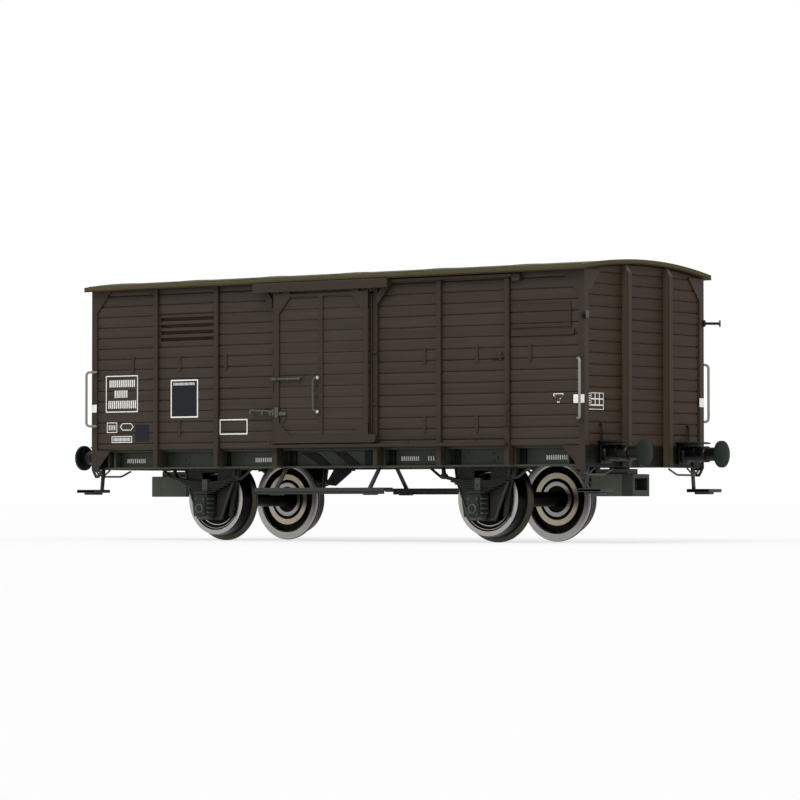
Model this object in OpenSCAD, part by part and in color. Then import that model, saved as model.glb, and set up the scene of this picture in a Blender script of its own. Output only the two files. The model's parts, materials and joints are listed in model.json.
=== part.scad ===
// Two-axle covered goods wagon, 1:87 scale model. Millimetres, standing on its wheel flanges.
// X runs along the wagon with +X the front end, -Y is the near side, +Z is up.

/* [Whole wagon] */
// Length over the buffer heads
over_buffers = 106.9; // [106.4:0.1:107.4]
// Distance between the two axles
wheelbase = 51.7; // [51.2:0.1:52.2]
// Length over the end planking
body_l = 92.7; // [92.5:0.1:92.9]
// Width over the side planking
body_w = 30.3; // [30.1:0.1:30.5]
// Thickness of the planked walls
wall_t = 1.0; // [0.8:0.1:1.1]

/* [Heights above the rail head] */
// Underside of the wall planking
sill_h = 13.05; // [13:0.05:13.1]
// Top of the load floor
floor_h = 14.5; // [14.4:0.05:14.6]
// Crown of the roof
crown_h = 39.8; // [39.6:0.1:40]
// Underside of the solebars
solebar_h = 10.15; // [10.1:0.05:10.2]
// Centre line of the buffers
buffer_h = 12.0; // [11.9:0.1:12.1]

/* [Roof] */
// Drop of the roof from the crown to the eaves
roof_rise = 1.4; // [1.2:0.1:1.6]
// Thickness of the roof sheet
roof_t = 0.7; // [0.6:0.1:0.8]
// Overhang of the roof beyond the side planking
eave_out = 1.45; // [1.3:0.05:1.5]
// Overhang of the roof beyond the end planking
gable_out = 0.85; // [0.75:0.05:0.95]

/* [Planking] */
// Width of one wall plank
plank_pitch = 1.636; // [1.6:0.004:1.66]
// Depth of the groove between planks
groove_d = 0.16; // [0.1:0.02:0.2]
// Height of the groove between planks
groove_w = 0.22; // [0.14:0.02:0.3]

/* [Doors] */
// Width of a sliding door over its stiles
door_w = 17.8; // [17.6:0.1:18]
// Travel of a sliding door
door_travel = 18.2; // [17:0.1:18.4]
// Height of the door's top edge above the rail head
door_top_h = 36.05; // [35.9:0.05:36.1]
// Height of the door's bottom edge above the rail head
door_foot_h = 13.8; // [13.75:0.05:13.85]

/* [Wheels] */
// Radius of the wheel tread
tread_r = 5.5; // [5.45:0.05:5.55]
// Height of the wheel flange over the tread
flange_h = 0.8; // [0.6:0.05:0.8]
// Distance between the backs of the two wheels
back_to_back = 14.4; // [14.3:0.05:14.5]
// Width of a wheel
wheel_w = 2.8; // [2.7:0.05:2.8]

/* [Buffers and couplers] */
// Spacing of the two buffers on one end
buffer_gap = 20.1; // [19.9:0.1:20.3]
// Radius of a buffer head
buffer_head_r = 1.95; // [1.9:0.05:2.1]
// Width of the coupler socket
socket_w = 3.2; // [3.15:0.01:3.25]
// Height of the coupler socket
socket_h = 1.7; // [1.65:0.01:1.75]

/* [Hidden] */
$fn = 48;

// Colours of the finishes
brown = [0.26, 0.225, 0.205];
dark_brown = [0.235, 0.205, 0.18];
roof_green = [0.34, 0.34, 0.27];
frame_black = [0.14, 0.16, 0.145];
frame_grey = [0.28, 0.31, 0.275];
wire_grey = [0.4, 0.4, 0.35];
guard_brown = [0.2, 0.19, 0.165];
steel = [0.66, 0.65, 0.63];
axle_black = [0.07, 0.07, 0.065];

// Heights above the floor: the rail head is one flange height up
rail = flange_h;
axle_z = rail + tread_r;
sill_z = rail + sill_h;
floor_z = rail + floor_h;
crown_z = rail + crown_h;
sole_z = rail + solebar_h;
buffer_z = rail + buffer_h;
door_top = rail + door_top_h;
door_foot = rail + door_foot_h;

// Half sizes of the body
half_l = body_l / 2;
half_w = body_w / 2;
axle_x = wheelbase / 2;

// The roof is an arc through the crown and both eaves
eave_y = half_w + eave_out;
gable_x = half_l + gable_out;
roof_r = (eave_y * eave_y + roof_rise * roof_rise) / (2 * roof_rise);
roof_centre = crown_z - roof_r;
function roof_under(y) = roof_centre + sqrt(pow(roof_r - roof_t, 2) - y * y);
// Clearance between the roof and what stands under it
roof_gap = 0.02;

// Posts of the side walls, counted from the doorway outwards
post_xs = [9.5, 21.1, 33.25];
post_w = 0.85;
post_out = 0.65;
post_foot = sole_z + 0.3;
post_face = half_w + post_out;

// Underframe section
sole_web_y = 12.4;
sole_flange_y = 14.2;
sole_t = 0.3;
headstock_x = half_l;
headstock_t = 1.0;
headstock_z = rail + 10.05;

// Door planes: the door runs in front of the posts
doorway_w = 17.0;
doorway_top = rail + 35.6;
door_back = post_face + 0.15;
door_skin = door_back + 0.35;
door_face = door_back + 0.6;
stile_w = 0.95;

// Door rails
rail_low_z = rail + 13.15;
rail_low_h = 0.45;
rail_top_z = rail + 37.15;
rail_top_h = 0.42;
rail_end_x = 35.7;
rail_top_face = half_w + 1.0;
canopy_half = 12.6;
canopy_face = door_face + 0.5;

// Running gear
wheel_face = back_to_back / 2 + wheel_w;
guard_y = wheel_face + 1.0;
guard_t = 0.35;
spring_y = guard_y + guard_t + 0.7;
spring_w = 0.85;
journal_r = 0.5;
axle_end_y = 12.1;

// Coupler pocket
pocket_face_x = half_l - 0.55;
pocket_l = 7.2;
pocket_w = 4.3;
pocket_z = rail + 5.9;
pocket_h = 3.2;
socket_z = rail + 6.8;
pivot_x = 36.8;
pivot_r = 0.6;

// ---------------------------------------------------------------- helpers

// A round rod between two points
module rod(p, q, r) {
    d = q - p;
    translate(p)
        rotate([0, acos(d.z / norm(d)), atan2(d.y, d.x)])
            cylinder(h = norm(d), r = r, $fn = 24);
}

// Box from its lowest to its highest corner
module box(low, high) {
    translate(low) cube(high - low);
}

// An outline drawn in the XZ plane, as thick as t, whose outer face is at y = -face
module side_plate(face, t) {
    translate([0, -face + t, 0]) rotate([90, 0, 0]) linear_extrude(t) children();
}

// An outline drawn in the YZ plane, from x to x + length
module lengthwise(x, length) {
    translate([x, 0, 0]) rotate([90, 0, 90]) linear_extrude(length) children();
}

// Repeat a near-side part on the far side, turned half a turn
module far_side() {
    rotate([0, 0, 180]) children();
}

// Repeat at the four corners by mirroring
module four_corners() {
    for (x = [0, 1], y = [0, 1]) mirror([x, 0, 0]) mirror([0, y, 0]) children();
}

// Repeat on both sides of one end
module both_sides() {
    for (y = [0, 1]) mirror([0, y, 0]) children();
}

// Repeat at both ends by mirroring
module both_ends() {
    for (x = [0, 1]) mirror([x, 0, 0]) children();
}

// Plank joint heights from the first joint up to a limit
function joints(first, top) = [for (z = first; z < top - groove_w; z = z + plank_pitch) z];

// Outer edge of a planked wall as points going up, with a V groove at each joint
function groove_points(face, zs) = [
    for (z = zs) each [
        [-face, z - groove_w / 2],
        [-face + groove_d, z],
        [-face, z + groove_w / 2]
    ]
];

// ---------------------------------------------------------------- body shell

side_joint = rail + 14.05;
end_joint = rail + 14.71;

// Cross section of a side wall between two heights, its top slanted to the roof when it reaches it
module side_section(low, high) {
    outer_top = min(high, roof_under(half_w) - roof_gap);
    inner_top = min(high, roof_under(half_w - wall_t) - roof_gap);
    zs = [for (z = joints(side_joint, outer_top)) if (z > low + groove_w) z];
    polygon(concat(
        [[-half_w + wall_t, low], [-half_w, low]],
        groove_points(half_w, zs),
        [[-half_w, outer_top], [-half_w + wall_t, inner_top]]
    ));
}

module roof() {
    color(roof_green) intersection() {
        box([-gable_x, -eave_y, crown_z - 4], [gable_x, eave_y, crown_z + 1]);
        translate([-gable_x - 1, 0, roof_centre]) rotate([0, 90, 0]) difference() {
            cylinder(h = 2 * gable_x + 2, r = roof_r, $fn = 360);
            translate([0, 0, -1]) cylinder(h = 2 * gable_x + 4, r = roof_r - roof_t, $fn = 360);
        }
    }
}

vent_x = [-32.7, -21.85];
vent_z = [rail + 29.75, rail + 33.85];

// Side wall panel left of the doorway, cut for the louvres
module wall_left() {
    color(brown) difference() {
        lengthwise(-half_l, half_l - doorway_w / 2) side_section(sill_z, crown_z);
        box([vent_x[0], -half_w - 1, vent_z[0]], [vent_x[1], -half_w + wall_t + 1, vent_z[1]]);
    }
}

// Side wall panel right of the doorway
module wall_right() {
    color(brown) lengthwise(doorway_w / 2, half_l - doorway_w / 2) side_section(sill_z, crown_z);
}

// Header over the doorway and sill under it
module doorway() {
    color(brown) lengthwise(-doorway_w / 2, doorway_w) {
        side_section(doorway_top, crown_z);
        side_section(sill_z, floor_z);
    }
}

module near_wall_left() { wall_left(); }
module near_wall_right() { wall_right(); }
module near_doorway() { doorway(); }
module far_wall_left() { far_side() wall_left(); }
module far_wall_right() { far_side() wall_right(); }
module far_doorway() { far_side() doorway(); }

// End wall: planked on its outer face, arched under the roof
module end_wall() {
    inner = half_w - wall_t;
    top = roof_under(0);
    zs = joints(end_joint, top);
    section = concat(
        [[-half_l + wall_t, sill_z], [-half_l, sill_z]],
        groove_points(half_l, zs),
        [[-half_l, top], [-half_l + wall_t, top]]
    );
    intersection() {
        mirror([1, 0, 0])
            translate([0, inner, 0]) rotate([90, 0, 0]) linear_extrude(2 * inner) polygon(section);
        translate([0, 0, roof_centre]) rotate([0, 90, 0])
            cylinder(h = body_l, r = roof_r - roof_t - roof_gap, $fn = 360);
    }
}

module front_end_wall() { color(dark_brown) end_wall(); }
module rear_end_wall() { color(dark_brown) far_side() end_wall(); }

// One side post: a standing rib on the planks that runs on over the solebar
module side_post(x, top) {
    box([x - post_w / 2, -post_face, post_foot], [x + post_w / 2, -half_w, top]);
    box([x - post_w / 2, -post_face, post_foot], [x + post_w / 2, -sole_flange_y, sill_z]);
}

// Posts of one side; those behind the door rail end under it
module side_posts() {
    color(brown) {
        for (x = post_xs) side_post(x, rail_top_z);
        side_post(-post_xs[0], rail_top_z);
        for (x = [post_xs[1], post_xs[2]]) side_post(-x, roof_under(post_face) - roof_gap);
    }
}

module near_side_posts() { side_posts(); }
module far_side_posts() { far_side() side_posts(); }

corner_t = 0.25;
corner_leg = 1.1;
gusset = 3.9;
corner_foot = rail + 10.0;

// Corner angle with its upper gussets and the tapered plate that reaches below the planks
module corner_post() {
    top_z = roof_under(half_w + corner_t) - roof_gap;
    out_x = half_l + corner_t;
    side_plate(half_w + corner_t, corner_t) polygon([
        [out_x, corner_foot], [out_x - 1.5, corner_foot], [out_x - 1.5, corner_foot + 0.5],
        [out_x - gusset, sill_z], [out_x - corner_leg, sill_z],
        [out_x - corner_leg, top_z - 3.4], [out_x - gusset, top_z - 0.2],
        [out_x - gusset, top_z], [out_x, top_z]
    ]);
    lengthwise(half_l, corner_t) polygon([
        [-half_w - corner_t, sill_z], [-half_w - corner_t + corner_leg, sill_z],
        [-half_w - corner_t + corner_leg, top_z - 3.4], [-half_w - corner_t + gusset, top_z - 0.2],
        [-half_w - corner_t + gusset, top_z], [-half_w - corner_t, top_z]
    ]);
}

module corner_posts() { color(brown) four_corners() corner_post(); }

end_post_y = 5.3;
end_post_w = 0.8;
end_post_out = 1.15;

// End post: stands off the planks, its head cut back under the roof edge
module end_post() {
    foot = headstock_z;
    head = roof_under(end_post_y + end_post_w) - roof_gap;
    side_plate(-end_post_y + end_post_w / 2, end_post_w) polygon([
        [half_l, foot], [half_l + end_post_out, foot], [half_l + end_post_out, head - 1.1],
        [half_l + 0.5, head], [half_l, head]
    ]);
}

module end_posts() { color(dark_brown) four_corners() mirror([0, 1, 0]) end_post(); }

// ---------------------------------------------------------------- doors

// Weather board over the door, with its shelf on the upper rail and a bracket at each door post
module door_canopy() {
    low = rail + 36.35;
    high = rail_top_z + rail_top_h;
    bracket_x = post_xs[0] + post_w / 2;
    color(brown) {
        box([-canopy_half, -canopy_face, low], [canopy_half, -canopy_face + 0.35, high]);
        box([-canopy_half, -canopy_face, high], [canopy_half, -half_w, high + 0.13]);
        for (s = [0, 1]) mirror([s, 0, 0]) side_plate(post_face, 0.3) polygon([
            [bracket_x, low - 2.3], [bracket_x + 0.15, low - 2.3], [canopy_half - 0.6, low],
            [canopy_half - 0.2, rail_top_z], [canopy_half - 1.8, rail_top_z],
            [canopy_half - 1.9, low], [bracket_x, low - 0.9]
        ]);
    }
}

module near_door_canopy() { door_canopy(); }
module far_door_canopy() { far_side() door_canopy(); }

// Upper hanging rail with its end plate, and the lower ledge on its feet
module door_rails() {
    foot_xs = [-6.2, -1.2, 4.0, 14.8, 27.0];
    foot_w = 0.7;
    color(brown) {
        box([-canopy_half, -rail_top_face, rail_top_z],
            [rail_end_x - 1.4, -half_w, rail_top_z + rail_top_h]);
        box([rail_end_x - 1.4, -half_w - 0.75, rail_top_z - 0.6],
            [rail_end_x, -half_w, rail_top_z + rail_top_h]);
        box([-10.8, -door_face, rail_low_z], [33.6, -post_face, rail_low_z + rail_low_h]);
        for (x = foot_xs)
            box([x, -post_face, rail_low_z], [x + foot_w, -half_w, rail_low_z + rail_low_h]);
    }
}

module near_door_rails() { door_rails(); }
module far_door_rails() { far_side() door_rails(); }

roller_bar_half = 10.3;
roller_bar_h = 1.2;

// Planked door leaf in a frame, hung on two straps, with a round-ended roller bar at its foot
module sliding_door() {
    half = door_w / 2;
    zs = [for (z = joints(side_joint, door_top)) if (z > door_foot + roller_bar_h) z];
    color(brown) {
        // plank skin
        lengthwise(-half, door_w) polygon(concat(
            [[-door_back, door_foot], [-door_skin, door_foot]],
            groove_points(door_skin, zs),
            [[-door_skin, door_top], [-door_back, door_top]]
        ));
        // stiles, middle stile and top rail
        for (x = [-half, half - stile_w])
            box([x, -door_face, door_foot], [x + stile_w, -door_skin, door_top]);
        box([-0.4, -door_face + 0.05, door_foot], [0.35, -door_skin, door_top]);
        box([-half, -door_face + 0.05, door_top - 0.5], [half, -door_skin, door_top]);
        // corner gussets
        for (s = [0, 1]) mirror([s, 0, 0]) {
            side_plate(door_face, door_face - door_skin) polygon([
                [-half, door_top], [-half + 3.5, door_top], [-half + 1.1, door_top - 2.8],
                [-half, door_top - 2.8]
            ]);
            side_plate(door_face, door_face - door_skin) polygon([
                [-half, door_foot], [-half + 3.0, door_foot], [-half + 3.0, door_foot + roller_bar_h],
                [-half + stile_w, door_foot + 3.0], [-half, door_foot + 3.0]
            ]);
        }
        // roller bar with round upper corners
        side_plate(door_face, door_face - door_back) union() {
            translate([-roller_bar_half, door_foot])
                square([2 * roller_bar_half, roller_bar_h / 2]);
            for (x = [-roller_bar_half + 0.6, roller_bar_half - 0.6])
                translate([x, door_foot + roller_bar_h / 2]) circle(r = 0.6);
            translate([-roller_bar_half + 0.6, door_foot + roller_bar_h / 2])
                square([2 * roller_bar_half - 1.2, roller_bar_h / 2]);
        }
        // hanging straps behind the weather board
        for (x = [-6.5, 6.5])
            box([x - 0.6, -door_face, door_top], [x + 0.6, -door_face + 0.25, rail_top_z + 0.3]);
    }
}

module near_door() { sliding_door(); }
module far_door() { far_side() sliding_door(); }

// Grab handle, latch bolt, and the locking bar with its two lugs
module door_fittings() {
    wire = 0.17;
    grab_x = -1.05;
    stand = door_face + 0.55;
    color(wire_grey) {
        // vertical grab handle on two studs
        rod([grab_x, -stand, rail + 18.6], [grab_x, -stand, rail + 23.2], wire);
        for (z = [rail + 18.35, rail + 23.45])
            rod([grab_x + 0.55, -door_face + 0.05, z], [grab_x + 0.55, -stand - 0.1, z], 0.3);
        for (z = [[18.6, 18.35], [23.2, 23.45]])
            rod([grab_x, -stand, rail + z[0]], [grab_x + 0.55, -stand, rail + z[1]], wire);
        // horizontal latch bolt with its knob
        rod([-9.1, -stand + 0.2, rail + 23.35], [-3.7, -stand + 0.2, rail + 23.35], wire);
        rod([-3.9, -door_skin, rail + 23.35], [-3.9, -stand, rail + 23.35], 0.3);
        rod([-8.4, -door_face, rail + 23.35], [-8.4, -stand + 0.2, rail + 23.35], 0.24);
        // hasp plate and its hook at the leading stile
        box([-8.6, -stand - 0.05, rail + 17.7], [-8.0, -door_face, rail + 19.1]);
        side_plate(door_face, door_face - door_skin) polygon([
            [-7.7, rail + 16.9], [-6.7, rail + 18.5], [-7.9, rail + 18.5]
        ]);
    }
}

module near_door_fittings() { door_fittings(); }
module far_door_fittings() { far_side() door_fittings(); }

// ---------------------------------------------------------------- vents

// Slanted louvre slats of one side
module louvres() {
    slat_n = 4;
    slat_h = (vent_z[1] - vent_z[0]) / slat_n;
    for (i = [0 : slat_n - 1])
        lengthwise(vent_x[0], vent_x[1] - vent_x[0])
            translate([-half_w, vent_z[0] + slat_h * i]) polygon([
                [0.03, 0.16], [0.3, 0.05], [0.55, slat_h - 0.06], [0.3, slat_h]
            ]);
}

module louvre_vents() {
    color(brown) {
        louvres();
        far_side() louvres();
    }
}

// Closed sheet hatch with its guide bar
module sheet_hatch() {
    left = post_xs[2] + 0.65;
    box([left, -half_w - 0.2, rail + 29.7], [44.2, -half_w, rail + 33.35]);
    box([left, -half_w - 0.35, rail + 28.5], [44.8, -half_w, rail + 29.6]);
}

module sheet_hatches() {
    color(brown) {
        sheet_hatch();
        far_side() sheet_hatch();
    }
}

// ---------------------------------------------------------------- floors and frame

module load_floor() {
    inner_x = half_l - wall_t;
    inner_y = half_w - wall_t;
    color(dark_brown) box([-inner_x, -inner_y, floor_z - 0.45], [inner_x, inner_y, floor_z]);
}

module ballast_weight() {
    color(steel) box([-42, -13, sill_z], [42, 13, floor_z - 0.45]);
}

// Chassis plate with its cross bearers and draught beam
module chassis_floor() {
    plate_z = rail + 12.3;
    bearer_xs = [-42, -34, -15.5, -5, 5, 15.5, 34, 42];
    color(frame_black) {
        box([-headstock_x + headstock_t, -sole_web_y, plate_z],
            [headstock_x - headstock_t, sole_web_y, sill_z]);
        for (x = bearer_xs) if (abs(x) < 30)
            box([x - 0.4, -sole_web_y, rail + 10.9], [x + 0.4, sole_web_y, plate_z]);
        for (x = bearer_xs) if (abs(x) > 30)
            box([x - 0.4, -sole_web_y, rail + 10.4], [x + 0.4, sole_web_y, plate_z]);
        for (y = [-3.6, 3.6])
            box([-15.5, y - 0.35, rail + 10.9], [15.5, y + 0.35, plate_z]);
    }
}

// Outward channel with stiffeners behind the side posts
module solebar() {
    end_x = headstock_x - headstock_t;
    color(frame_grey) {
        box([-end_x, -sole_web_y - sole_t, sole_z], [end_x, -sole_web_y, sill_z]);
        for (z = [sole_z, sill_z - sole_t])
            box([-end_x, -sole_flange_y, z], [end_x, -sole_web_y, z + sole_t]);
        for (x = post_xs, s = [-1, 1])
            box([s * x - post_w / 2, -sole_flange_y, sole_z], [s * x + post_w / 2, -sole_web_y, sill_z]);
    }
}

module near_solebar() { solebar(); }
module far_solebar() { far_side() solebar(); }

// Headstock across one end, from corner plate to corner plate
module headstock() {
    color(frame_black)
        box([headstock_x - headstock_t, -half_w, headstock_z], [headstock_x, half_w, sill_z]);
}

module front_headstock() { headstock(); }
module rear_headstock() { far_side() headstock(); }

// ---------------------------------------------------------------- running gear

// Axle guard: two splayed plates joined by a tie bar, with the box guide between
module axle_guard() {
    side_plate(guard_y + guard_t, guard_t) union() {
        for (s = [0, 1]) mirror([s, 0, 0]) polygon([
            [1.6, rail + 10.9], [5.1, rail + 10.9], [4.65, rail + 8.0], [2.6, rail + 3.0],
            [2.3, rail + 2.35], [1.35, rail + 2.35], [1.35, rail + 6.6]
        ]);
        translate([-2.3, rail + 2.35]) square([4.6, 0.5]);
    }
}

module axle_guards(x) {
    color(guard_brown) translate([x, 0, 0]) both_sides() {
        axle_guard();
        // webs that carry the guard from the solebar
        for (s = [-1, 1])
            box([s * 3.3 - 1.5, -sole_web_y, rail + 10.9], [s * 3.3 + 1.5, -guard_y, rail + 12.3]);
    }
}

module front_axle_guards() { axle_guards(axle_x); }
module rear_axle_guards() { axle_guards(-axle_x); }

spring_half = 6.4;

// Laminated spring: leaves that shorten downwards, bent up to their eyes, and the buckle
module leaf_spring() {
    leaves = 7;
    leaf_t = 0.22;
    eye_z = rail + 9.0;
    sag = 0.8;
    side_plate(spring_y + spring_w / 2, spring_w) {
        for (i = [0 : leaves - 1]) {
            half = spring_half * (1 - i / (leaves + 1.2));
            polygon(concat(
                [for (k = [-8 : 8]) spring_point(k / 8 * half, i * leaf_t, eye_z, sag)],
                [for (k = [8 : -1 : -8]) spring_point(k / 8 * half, (i + 1) * leaf_t + 0.001, eye_z, sag)]
            ));
        }
        translate([-0.5, rail + 6.65]) square([1.0, 1.9]);
        for (s = [-1, 1]) translate([s * spring_half, eye_z - 0.1]) circle(r = 0.32, $fn = 24);
    }
}

function spring_point(x, drop, eye_z, sag) =
    [x, eye_z - sag * (1 - pow(x / spring_half, 2)) - drop];

// Spring hanger: a bracket under the solebar that reaches down to the spring eye
module spring_hanger() {
    side_plate(spring_y + spring_w / 2 + 0.3, 0.28) polygon([
        [5.9, rail + 8.65], [6.9, rail + 8.45], [9.3, sole_z], [6.3, sole_z]
    ]);
}

module leaf_springs(x) {
    color(frame_black) translate([x, 0, 0]) both_sides() {
        leaf_spring();
        both_ends() spring_hanger();
    }
}

module front_leaf_springs() { leaf_springs(axle_x); }
module rear_leaf_springs() { leaf_springs(-axle_x); }

// Axle box: cast body with a round cover, a shelf under the buckle and a blind bore for the journal
module axle_box() {
    back = guard_y + guard_t + 0.05;
    face = 13.75;
    difference() {
        union() {
            box([-1.2, -face, rail + 3.0], [1.2, -back, rail + 6.3]);
            box([-1.35, -face + 0.9, rail + 6.3], [1.35, -back, rail + 6.65]);
            box([-0.8, -face + 0.5, rail + 2.5], [0.8, -back, rail + 3.0]);
            translate([0, -face, rail + 4.1]) rotate([90, 0, 0]) cylinder(h = 0.25, r = 0.68);
        }
        translate([0, -axle_end_y - 0.2, axle_z]) rotate([-90, 0, 0])
            cylinder(h = 2, r = journal_r + 0.1);
    }
}

module axle_boxes(x) {
    color(frame_grey) translate([x, 0, 0]) both_sides() axle_box();
}

module front_axle_boxes() { axle_boxes(axle_x); }
module rear_axle_boxes() { axle_boxes(-axle_x); }

// Brake links: slanted hangers beside each wheel face
module brake_link() {
    link_y = wheel_face + 0.35;
    side_plate(link_y + 0.3, 0.3) polygon([
        [4.2, rail + 12.3], [4.9, rail + 12.3], [4.9, rail + 8.0], [3.7, rail + 2.9], [3.1, rail + 2.9]
    ]);
}

module brake_links() {
    color(frame_black) for (x = [-axle_x, axle_x])
        translate([x, 0, 0]) four_corners() brake_link();
}

// Crank plate of the brake, hung under the chassis plate on the near side
module brake_crank() {
    color(frame_black) side_plate(8.2, 0.4) polygon([
        [-5.2, rail + 7.6], [-3.9, rail + 7.5], [-1.0, rail + 9.5], [-0.8, rail + 10.0],
        [-1.8, rail + 12.3], [-4.0, rail + 12.3], [-4.2, rail + 9.9], [-5.3, rail + 8.4]
    ]);
}

// ---------------------------------------------------------------- buffers

module at_buffers() {
    for (s = [0, 1], y = [-1, 1])
        mirror([s, 0, 0]) translate([headstock_x, y * buffer_gap / 2, buffer_z])
            rotate([0, 90, 0]) children();
}

barrel_end = 4.4;
buffer_out = over_buffers / 2 - headstock_x;

// Buffer casing: square foot, stepped barrel and collar
module buffer_barrels() {
    color(frame_black) at_buffers() {
        translate([-1.45, -1.45, 0]) cube([2.9, 2.9, 0.35]);
        translate([0, 0, 0.35]) cylinder(h = 0.5, r = 1.38);
        translate([0, 0, 0.85]) cylinder(h = barrel_end - 0.85, r = 1.22);
        for (z = [2.6, barrel_end - 0.35]) translate([0, 0, z]) cylinder(h = 0.3, r = 1.3);
    }
}

// Plunger and slightly domed head
module buffer_heads() {
    dome_r = 9;
    color(frame_grey) at_buffers() {
        translate([0, 0, barrel_end]) cylinder(h = buffer_out - barrel_end - 0.3, r = 0.92);
        translate([0, 0, buffer_out - 1.0]) cylinder(h = 0.5, r = 1.2);
        intersection() {
            translate([0, 0, buffer_out - 0.5]) cylinder(h = 0.5, r = buffer_head_r);
            translate([0, 0, buffer_out - dome_r]) sphere(r = dome_r, $fn = 96);
        }
    }
}

// Tread plate over each buffer with the short post that stands on it
module buffer_steps() {
    plate_z = rail + 13.5;
    color(frame_black) four_corners() {
        box([headstock_x, -12.0, plate_z], [headstock_x + 3.6, -8.1, plate_z + 0.3]);
        rod([headstock_x + 0.25, -11.2, plate_z + 0.3], [headstock_x + 0.25, -11.2, plate_z + 2.3], 0.2);
    }
}

// ---------------------------------------------------------------- couplers

// Coupler pocket: open socket box on a short arm that turns on its pin
module coupler_pocket() {
    rear_x = pocket_face_x - pocket_l;
    arm_z = pocket_z + pocket_h;
    arm_top = rail + 9.85;
    color(frame_grey) difference() {
        union() {
            box([rear_x, -pocket_w / 2, pocket_z], [pocket_face_x, pocket_w / 2, arm_z]);
            box([pivot_x, -1.4, arm_z - 0.001], [pocket_face_x - 1.5, 1.4, arm_top]);
            translate([pivot_x, 0, arm_z - 0.6]) cylinder(h = arm_top - arm_z + 0.6, r = 1.4);
            box([pivot_x, -1.4, arm_z - 0.6], [rear_x + 0.5, 1.4, arm_top]);
        }
        box([pocket_face_x - 6, -socket_w / 2, socket_z],
            [pocket_face_x + 1, socket_w / 2, socket_z + socket_h]);
        translate([pivot_x, 0, pocket_z]) cylinder(h = 6, r = pivot_r + 0.08);
    }
}

module front_coupler_pocket() { coupler_pocket(); }
module rear_coupler_pocket() { far_side() coupler_pocket(); }

// Pin that carries each pocket, with its boss under the chassis and its retaining head
module coupler_pivots() {
    head_z = pocket_z + pocket_h - 0.7;
    color(frame_black) both_ends() translate([pivot_x, 0, 0]) {
        translate([0, 0, head_z]) cylinder(h = rail + 10.4 - head_z, r = pivot_r);
        translate([0, 0, head_z - 0.4]) cylinder(h = 0.4, r = 1.0);
        translate([0, 0, rail + 9.95]) cylinder(h = 2.35, r = 1.3);
    }
}

// ---------------------------------------------------------------- steps and rails

// Corner step: plate, hanger and the brace rod under the headstock
module corner_step() {
    plate_z = rail + 6.5;
    step_t = 0.5;
    in_x = half_l - 0.75;
    box([in_x, -15.6, plate_z], [in_x + 3.9, -12.2, plate_z + step_t]);
    box([in_x + 0.9, -14.9, plate_z - 0.3], [in_x + 3.0, -12.9, plate_z]);
    box([in_x, -14.2, plate_z + step_t], [in_x + 0.35, -13.6, headstock_z]);
    rod([in_x + 0.17, -13.7, rail + 9.0], [in_x + 0.17, -9.5, rail + 9.0], 0.16);
    rod([in_x + 0.17, -9.6, rail + 8.98], [in_x + 0.17, -7.2, rail + 9.86], 0.15);
}

module corner_steps() { color(frame_grey) four_corners() corner_step(); }

// Running board under the door on its slanted hangers
module footboard() {
    board_z = rail + 6.65;
    board_top = board_z + 0.55;
    hang_xs = [-8.85, 8.85];
    color(frame_grey) {
        box([-12.2, -17.1, board_z], [12.2, -14.8, board_top]);
        box([-12.0, -16.9, board_z - 0.4], [12.0, -16.5, board_z]);
        for (x = hang_xs) {
            translate([x - 0.3, 0, 0]) rotate([90, 0, 90]) linear_extrude(0.6) polygon([
                [-16.4, board_top - 0.001], [-15.8, board_top - 0.001], [-13.3, sole_z], [-13.9, sole_z]
            ]);
            box([x - 1.0, -16.45, board_z - 0.6], [x + 1.0, -15.2, board_z]);
        }
    }
}

module near_footboard() { footboard(); }
module far_footboard() { far_side() footboard(); }

// Corner handrail: wire bent out at 45 degrees from the corner
module handrail() {
    wire = 0.19;
    reach = 1.75;
    bend = 0.6;
    low = rail + 16.85;
    high = rail + 25.25;
    translate([45.35, -half_w - corner_t, 0]) rotate([0, 0, -45]) {
        translate([reach, 0, low + bend]) cylinder(h = high - low - 2 * bend, r = wire, $fn = 24);
        translate([reach - bend, 0, high - bend]) rotate([90, 0, 0])
            rotate_extrude(angle = 90) translate([bend, 0]) circle(r = wire, $fn = 24);
        translate([reach - bend, 0, low + bend]) rotate([90, 0, 0])
            rotate([0, 0, -90]) rotate_extrude(angle = 90) translate([bend, 0]) circle(r = wire, $fn = 24);
        for (z = [low, high])
            translate([0, 0, z]) rotate([0, 90, 0]) cylinder(h = reach - bend, r = wire, $fn = 24);
    }
}

// Handrails, cut flush where their feet meet the corner posts
module cut_handrail() {
    difference() {
        handrail();
        box([44, -half_w - corner_t, rail + 15], [47, -half_w + 1, rail + 27]);
    }
}

module handrails() { color(wire_grey) four_corners() cut_handrail(); }

// Lamp iron: a round base on the corner, a rod that points outwards at 45 degrees, and its plate
module lamp_iron() {
    reach = 2.5;
    plate_t = 0.2;
    rotate([0, 0, -45]) {
        rotate([0, 90, 0]) {
            translate([0, 0, -0.4]) cylinder(h = 0.6, r = 0.72);
            cylinder(h = reach - plate_t / 2, r = 0.2);
        }
        box([reach - plate_t, -0.24, -0.5], [reach, 0.24, 0.5]);
    }
}

// Lamp irons of the front end, cut flush where their bases meet the corner posts
module lamp_irons() {
    corner = [half_l + corner_t, -half_w - corner_t, rail + 31.3];
    color(frame_grey) both_sides() difference() {
        translate(corner) lamp_iron();
        box(corner - [3, 0, 1], corner + [0, 3, 1]);
    }
}

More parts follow.
